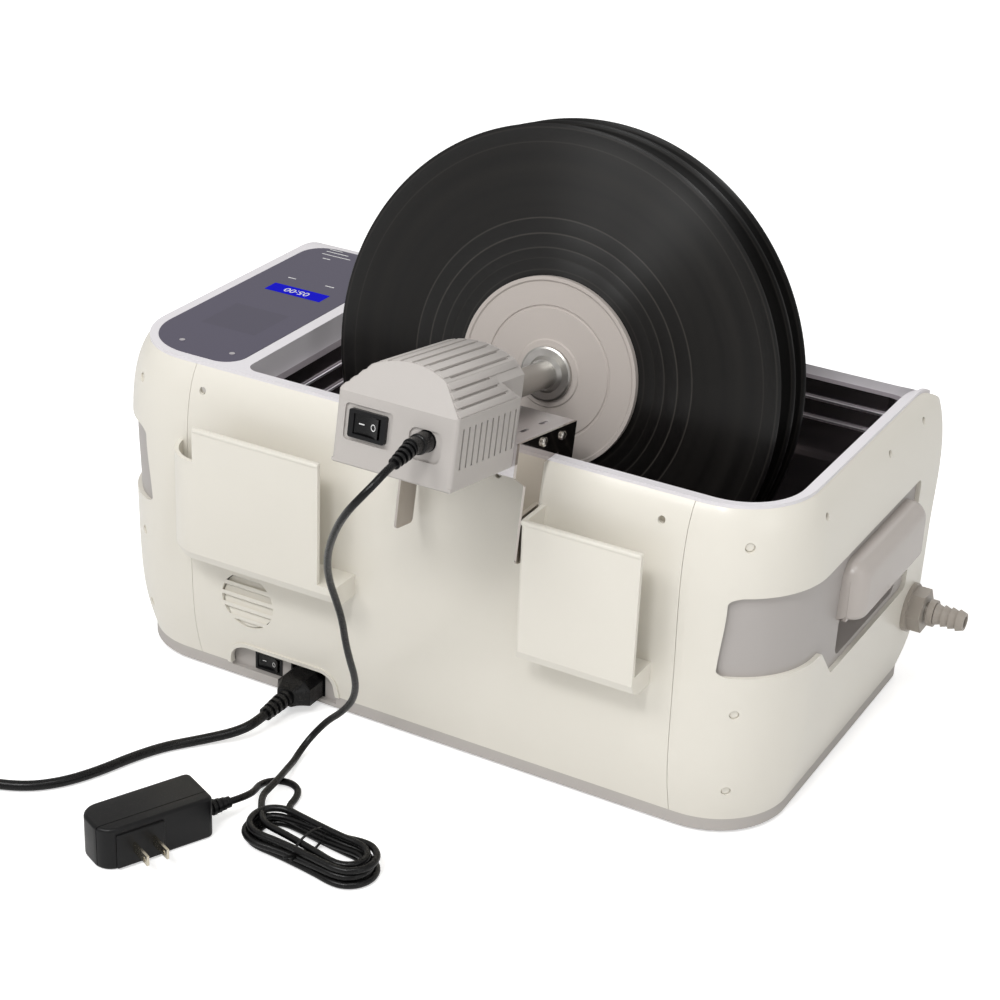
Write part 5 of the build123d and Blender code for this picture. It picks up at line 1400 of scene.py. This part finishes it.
DRIVE_ROUTE = (
    (-0.06105, 0.26266, 0.26607), (-0.061, 0.2716, 0.2647), (-0.0594, 0.2796, 0.2606),
    (-0.0546, 0.2856, 0.2536), (-0.0466, 0.2856, 0.2434), (-0.0348, 0.277, 0.2274),
    (-0.0218, 0.2645, 0.2065), (-0.0116, 0.251, 0.186), (-0.0054, 0.2385, 0.1672),
    (-0.0024, 0.227, 0.1492), (-0.0002, 0.2168, 0.1308), (0.0034, 0.2074, 0.1102),
    (0.006, 0.1982, 0.0924), (0.0082, 0.189, 0.0759), (0.0123, 0.181, 0.0608),
    (0.0194, 0.1745, 0.046), (0.03, 0.1706, 0.0328), (0.0392, 0.1694, 0.0242),
    (0.0458, 0.1706, 0.016), (0.0502, 0.1752, 0.009), (0.0512, 0.1836, 0.0046),
    (0.049, 0.1945, 0.0034), (0.0454, 0.207, 0.0062), (0.0416, 0.22, 0.0088),
    (0.0398, 0.233, 0.0094), (0.0386, 0.2445, 0.0096),
)
ADAPTER_ROUTE = (
    (0.05254, 0.2692, 0.012), (0.04908, 0.26198, 0.012), (0.0457, 0.25493, 0.012), (0.0446, 0.2469, 0.0108),
    (0.047, 0.2388, 0.008), (0.0508, 0.2302, 0.0048), (0.0506, 0.2212, 0.003),
    (0.0446, 0.215, 0.0024), (0.0362, 0.2138, 0.0023), (0.029, 0.2182, 0.0024),
    (0.0258, 0.2264, 0.0023), (0.0248, 0.2352, 0.0024), (0.0196, 0.242, 0.0023),
    (0.0106, 0.2456, 0.0024),
)


@dataclass(frozen=True)
class Winding:
    """Turns of cord laid in rows, wound inwards and outwards by turns.

    Each turn has round ends and straighter sides between them. Each row is (turns, first offset,
    last offset, height), and the offset is added to both reaches. The fan holds the lay at the
    start of each row and at the end of the last one: a shift in plan and a turn in degrees. The
    waist is how much the sides are drawn in at the middle, 0 to 1, and it fades over its reach.
    """

    centre: tuple[float, float]
    reach: tuple[float, float]
    rows: tuple[tuple[float, float, float, float], ...]
    start: float
    points_per_turn: int = 14
    fan: tuple[Point, ...] = ((0.0, 0.0, 0.0),) * 4
    waist: float = 0.0
    waist_reach: float = 0.02
    squareness: float = 2.0

    def spot(self, angle: float, offset: float, height: float, lay: Vector) -> Point:
        """One point of the winding.

        Args:
            angle: Turn so far, in degrees.
            offset: Added to both reaches.
            height: Height above the table.
            lay: Shift in plan and, third, the turn in degrees.

        Returns:
            The point.
        """
        turn = math.radians(angle)
        bend = self.reach[1] + offset
        run = self.reach[0] - self.reach[1]
        along = math.tanh(self.squareness * math.cos(turn)) / math.tanh(self.squareness)
        x = bend * math.cos(turn) + run * along + lay.x
        pinch = 1 - self.waist * math.exp(-(((x - lay.x) / self.waist_reach) ** 2))
        y = bend * math.sin(turn) * pinch + lay.y
        lean = math.radians(lay.z)
        return (self.centre[0] + x * math.cos(lean) - y * math.sin(lean),
                self.centre[1] + x * math.sin(lean) + y * math.cos(lean), height)

    def points(self) -> list[Point]:
        """The winding's points in order; each row drifts from its own lay to the next one's.

        A row's last point and the next row's first each take a third of the climb between them.

        Returns:
            The points.
        """
        made = []
        angle = self.start
        hop = 360 / self.points_per_turn
        levels = [row[3] for row in self.rows]
        for row, (turns, first, last, height) in enumerate(self.rows):
            count = round(turns * self.points_per_turn)
            begin, end = Vector(self.fan[row]), Vector(self.fan[row + 1])
            for step in range(count + 1):
                share = step / count
                climb = 0.0
                if step == 0 and row > 0:
                    climb = (levels[row - 1] - height) / 3
                elif step == count and row + 1 < len(levels):
                    climb = (levels[row + 1] - height) / 3
                made.append(self.spot(angle + 360 * turns * share, first + (last - first) * share,
                                      height + climb, begin.lerp(end, share)))
            angle += 360 * turns + hop
        return made


MAINS_COIL = Winding(
    centre=(0.228, 0.362), reach=(0.0452, 0.0452), start=-97.0,
    rows=((2.83, 0.0, -0.0178, 0.0034), (2.83, -0.0178, -0.002, 0.0099), (1.17, -0.0035, -0.0052, 0.0164)))
DRIVE_HANK = Winding(
    centre=(-0.0125, 0.2675), reach=(0.0455, 0.0215), start=34.0, points_per_turn=16, waist=0.4,
    rows=((1.63, -0.0078, -0.0005, 0.0120), (1.93, -0.0005, -0.0078, 0.0073), (2.94, -0.0078, 0.0, 0.0025)),
    fan=((0.002, -0.003, -11.0), (-0.001, 0.0025, -1.0), (0.001, -0.001, -9.0), (0.0, 0.0, -6.0)))


@dataclass
class HankTie:
    """The wire tie round the hank's middle, with its two twisted ends."""

    spot: Point = (-0.0115, 0.2675, 0.0083)
    turn: float = 84.0
    reach: float = 0.0146
    wire: float = 0.0009
    flatness: float = 0.5
    twist_spot: Point = (-0.0125, 0.2825, 0.0085)
    twist_lean: float = -78.0
    end_leans: tuple[float, float] = (-14.0, 22.0)
    end_radius: float = 0.0008
    end_step: Point = (0.0002, 0, 0.0022)
    end_steps: int = 4

    def loop(self) -> Workpiece:
        """The flattened ring round the turns.

        Returns:
            The placed ring.
        """
        Workpiece.clear_bench()
        bpy.ops.mesh.primitive_torus_add(major_radius=self.reach, minor_radius=self.wire, major_segments=48,
                                         minor_segments=10)
        ring = Workpiece("twisted_hank_tie")
        ring.edit()
        bpy.ops.mesh.select_all(action="SELECT")
        bpy.ops.transform.resize(value=(1.0, self.flatness, 1.0))
        ring.leave()
        ring.place(Matrix.Translation(self.spot) @ Matrix.Rotation(math.radians(self.turn), 4, "Z")
                   @ Matrix.Rotation(math.radians(90), 4, "X"))
        return ring

    def end(self, lean: float) -> Workpiece:
        """One free end, drawn out in steps by both of its caps.

        Args:
            lean: Its lean to the side, in degrees.

        Returns:
            The placed end.
        """
        end = Workpiece.round_plate("tie_end", self.end_radius, 12)
        end.edit()
        for _ in range(self.end_steps):
            end.pick_faces(lambda face: abs(face.normal.z) > LEVEL)
            end.pull(self.end_step)
        end.leave()
        end.place(Matrix.Translation(self.twist_spot) @ Matrix.Rotation(math.radians(self.twist_lean), 4, "X")
                  @ Matrix.Rotation(math.radians(lean), 4, "Y"))
        return end

    def build(self) -> bpy.types.Object:
        """Join the ring and its ends.

        Returns:
            The finished tie.
        """
        tie = self.loop()
        tie.take_in([self.end(lean) for lean in self.end_leans])
        made = tie.finish(RUBBER_BLACK, "drive_unit", "cord_black", 50.0)
        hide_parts("hank_tie")
        return made


@dataclass
class Lead:
    """A free cord drawn as one smooth line of round section."""

    name: str
    diameter: float
    body: str
    route: list[Point]

    def build(self, look: Finish, slot: str) -> bpy.types.Object:
        """Draw the cord.

        Args:
            look: Its finish.
            slot: The record's material slot; not used.

        Returns:
            The curve object.
        """
        data = bpy.data.curves.new(self.name, "CURVE")
        data.dimensions = "3D"
        data.bevel_depth = self.diameter / 2
        data.bevel_resolution = 5
        data.resolution_u = 6
        data.use_fill_caps = True
        line = data.splines.new("NURBS")
        line.points.add(len(self.route) - 1)
        for point, place in zip(line.points, self.route):
            point.co = (*place, 1.0)
        line.order_u = 3
        line.use_endpoint_u = True
        made = bpy.data.objects.new(self.name, data)
        bpy.context.scene.collection.objects.link(made)
        made.data.materials.append(look.material())
        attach(made, self.body)
        log.info("%s: %d points, %.1f mm thick", self.name, len(self.route), self.diameter * 1000)
        return made


class Cords:
    """The machine's two leads, each with what hangs on it."""

    def mains_lead(self) -> None:
        """The mains lead: out of its connector, over the table, a stored coil and its plug."""
        route = list(MAINS_ROUTE) + MAINS_COIL.points() + list(TAIL_ROUTE)
        lead = Lead("mains_lead", 0.0064, "casing", route).build(CORD_BLACK, "cord_black")
        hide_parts("mains_cord", "mains_coil", "mains_cord_tail")

    def drive_lead(self) -> None:
        """The low-voltage lead: from the drive over the table into a hank, then to its adapter."""
        adapter = PowerAdapter().build()
        tie = HankTie().build()
        route = list(DRIVE_ROUTE) + DRIVE_HANK.points() + list(reversed(ADAPTER_ROUTE))
        lead = Lead("drive_lead", 0.0044, "drive_unit", route).build(CORD_BLACK, "cord_black")
        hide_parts("dc_cord_upper", "dc_hank", "dc_cord_lower")

    def build(self) -> None:
        """Lay both leads."""
        self.mains_lead()
        self.drive_lead()


# ------------------------------------------------------------------ studio
@dataclass
class Studio:
    """The table, the surround, the lamps (name, place, size, power) and the camera."""

    camera_place: Point = (-0.63013, 1.20251, 0.79389)
    right: Point = (-0.8709, -0.4898, 0.0393)
    up: Point = (0.2493, -0.3716, 0.8942)
    back: Point = (-0.42347, 0.78868, 0.44570)
    lens: float = 82.89
    world_level: float = 0.52
    world_tint: Colour = (1.0, 0.99, 0.97, 1)
    floor_size: float = 9.0
    floor_drop: float = 0.0002
    floor_tone: float = 0.9
    floor_glow: float = 0.5
    aim: Point = (0, 0.05, 0.15)
    lamps: tuple[tuple[str, Point, float, float], ...] = (
        ("key_lamp", (0.75, 1.9, 2.25), 1.1, 22.0),
        ("disc_lamp", (-0.27, 1.78, 2.05), 0.45, 15.0),
        ("top_lamp", (-0.60, 0.70, 2.1), 0.5, 5.0),
        ("side_lamp", (-2.3, 1.0, 1.2), 1.2, 4.0),
        ("front_lamp", (0.2, -2.2, 1.9), 1.8, 8.0),
    )

    def seen_directly(self, bench: TreeBench) -> bpy.types.NodeSocket:
        """A mask of the rays that see the backdrop itself, also through glass."""
        path = bench.node("ShaderNodeLightPath")
        return bench.maths("MAXIMUM", path.outputs["Is Camera Ray"], path.outputs["Is Transmission Ray"])

    def build_world(self) -> None:
        """A white surround to look at and an even grey light for the object."""
        world = bpy.data.worlds.new("surround")
        world.use_nodes = True
        bench = TreeBench(world.node_tree)
        seen = bench.node("ShaderNodeBackground", {"Color": (1, 1, 1, 1), "Strength": 1.0})
        light = bench.node("ShaderNodeBackground", {"Color": self.world_tint, "Strength": self.world_level})
        blend = bench.node("ShaderNodeMixShader", {0: self.seen_directly(bench), 1: light.outputs[0],
                                                   2: seen.outputs[0]})
        bench.node("ShaderNodeOutputWorld", {"Surface": blend.outputs[0]})
        bpy.context.scene.world = world

    def build_floor(self) -> None:
        """A pale table top that fades to white and keeps the soft shadow."""
        Workpiece.clear_bench()
        bpy.ops.mesh.primitive_plane_add(size=self.floor_size, location=(0, 0, -self.floor_drop))
        floor = bpy.context.object
        floor.name = "table_top"
        made = bpy.data.materials.new("table_white")
        made.use_nodes = True
        bench = TreeBench(made.node_tree)
        paint = bench.node("ShaderNodeBsdfDiffuse", {"Color": (self.floor_tone,) * 3 + (1,)})
        strength = bench.maths("MULTIPLY", self.seen_directly(bench), self.floor_glow)
        glow = bench.node("ShaderNodeEmission", {"Color": (1, 1, 1, 1), "Strength": strength})
        both = bench.node("ShaderNodeAddShader", {0: paint.outputs[0], 1: glow.outputs[0]})
        bench.node("ShaderNodeOutputMaterial", {"Surface": both.outputs[0]})
        floor.data.materials.append(made)

    def build_lamps(self) -> None:
        """Soft lamps aimed at the machine."""
        for name, place, size, power in self.lamps:
            data = bpy.data.lights.new(name, "AREA")
            data.shape = "DISK"
            data.size = size
            data.energy = power
            lamp = bpy.data.objects.new(name, data)
            lamp.location = place
            lamp.rotation_euler = (Vector(self.aim) - Vector(place)).to_track_quat("-Z", "Y").to_euler()
            bpy.context.scene.collection.objects.link(lamp)

    def build_camera(self) -> None:
        """The camera at its place, looking down on the service side."""
        data = bpy.data.cameras.new("view")
        data.lens = self.lens
        data.sensor_width = 36.0
        data.clip_start = 0.05
        data.clip_end = 50.0
        camera = bpy.data.objects.new("view", data)
        turn = Matrix((self.right, self.up, self.back)).transposed()
        camera.matrix_world = Matrix.Translation(self.camera_place) @ turn.to_4x4()
        bpy.context.scene.collection.objects.link(camera)
        bpy.context.scene.camera = camera

    def build(self) -> None:
        """Set up the studio."""
        self.build_world()
        self.build_floor()
        self.build_lamps()
        self.build_camera()
        bpy.context.scene.view_settings.view_transform = "Standard"


def main() -> None:
    """Build the studio, the cords and the pieces, and dress the solids."""
    logging.basicConfig(level=logging.INFO, format="%(message)s")
    Studio().build()
    Cords().build()
    dress_nodes()
    mains = RockerMarks("mains_rocker_mark", "mains_rocker_body", MAINS_PIVOT, half_width=0.0083,
                        half_height=0.0045)
    drive = RockerMarks("drive_rocker_mark", "drive_rocker_body", DRIVE_PIVOT, half_width=0.0082,
                        half_height=0.0056)
    for assembly in (RecordStack(), ControlPanel(), mains, drive, HandleGrips(), VentLouvres(),
                     CornerPlugs(), PocketLips(), BracketScrews(), CrownRibs(), BathBeads()):
        assembly.build()


if __name__ == "__main__":
    main()
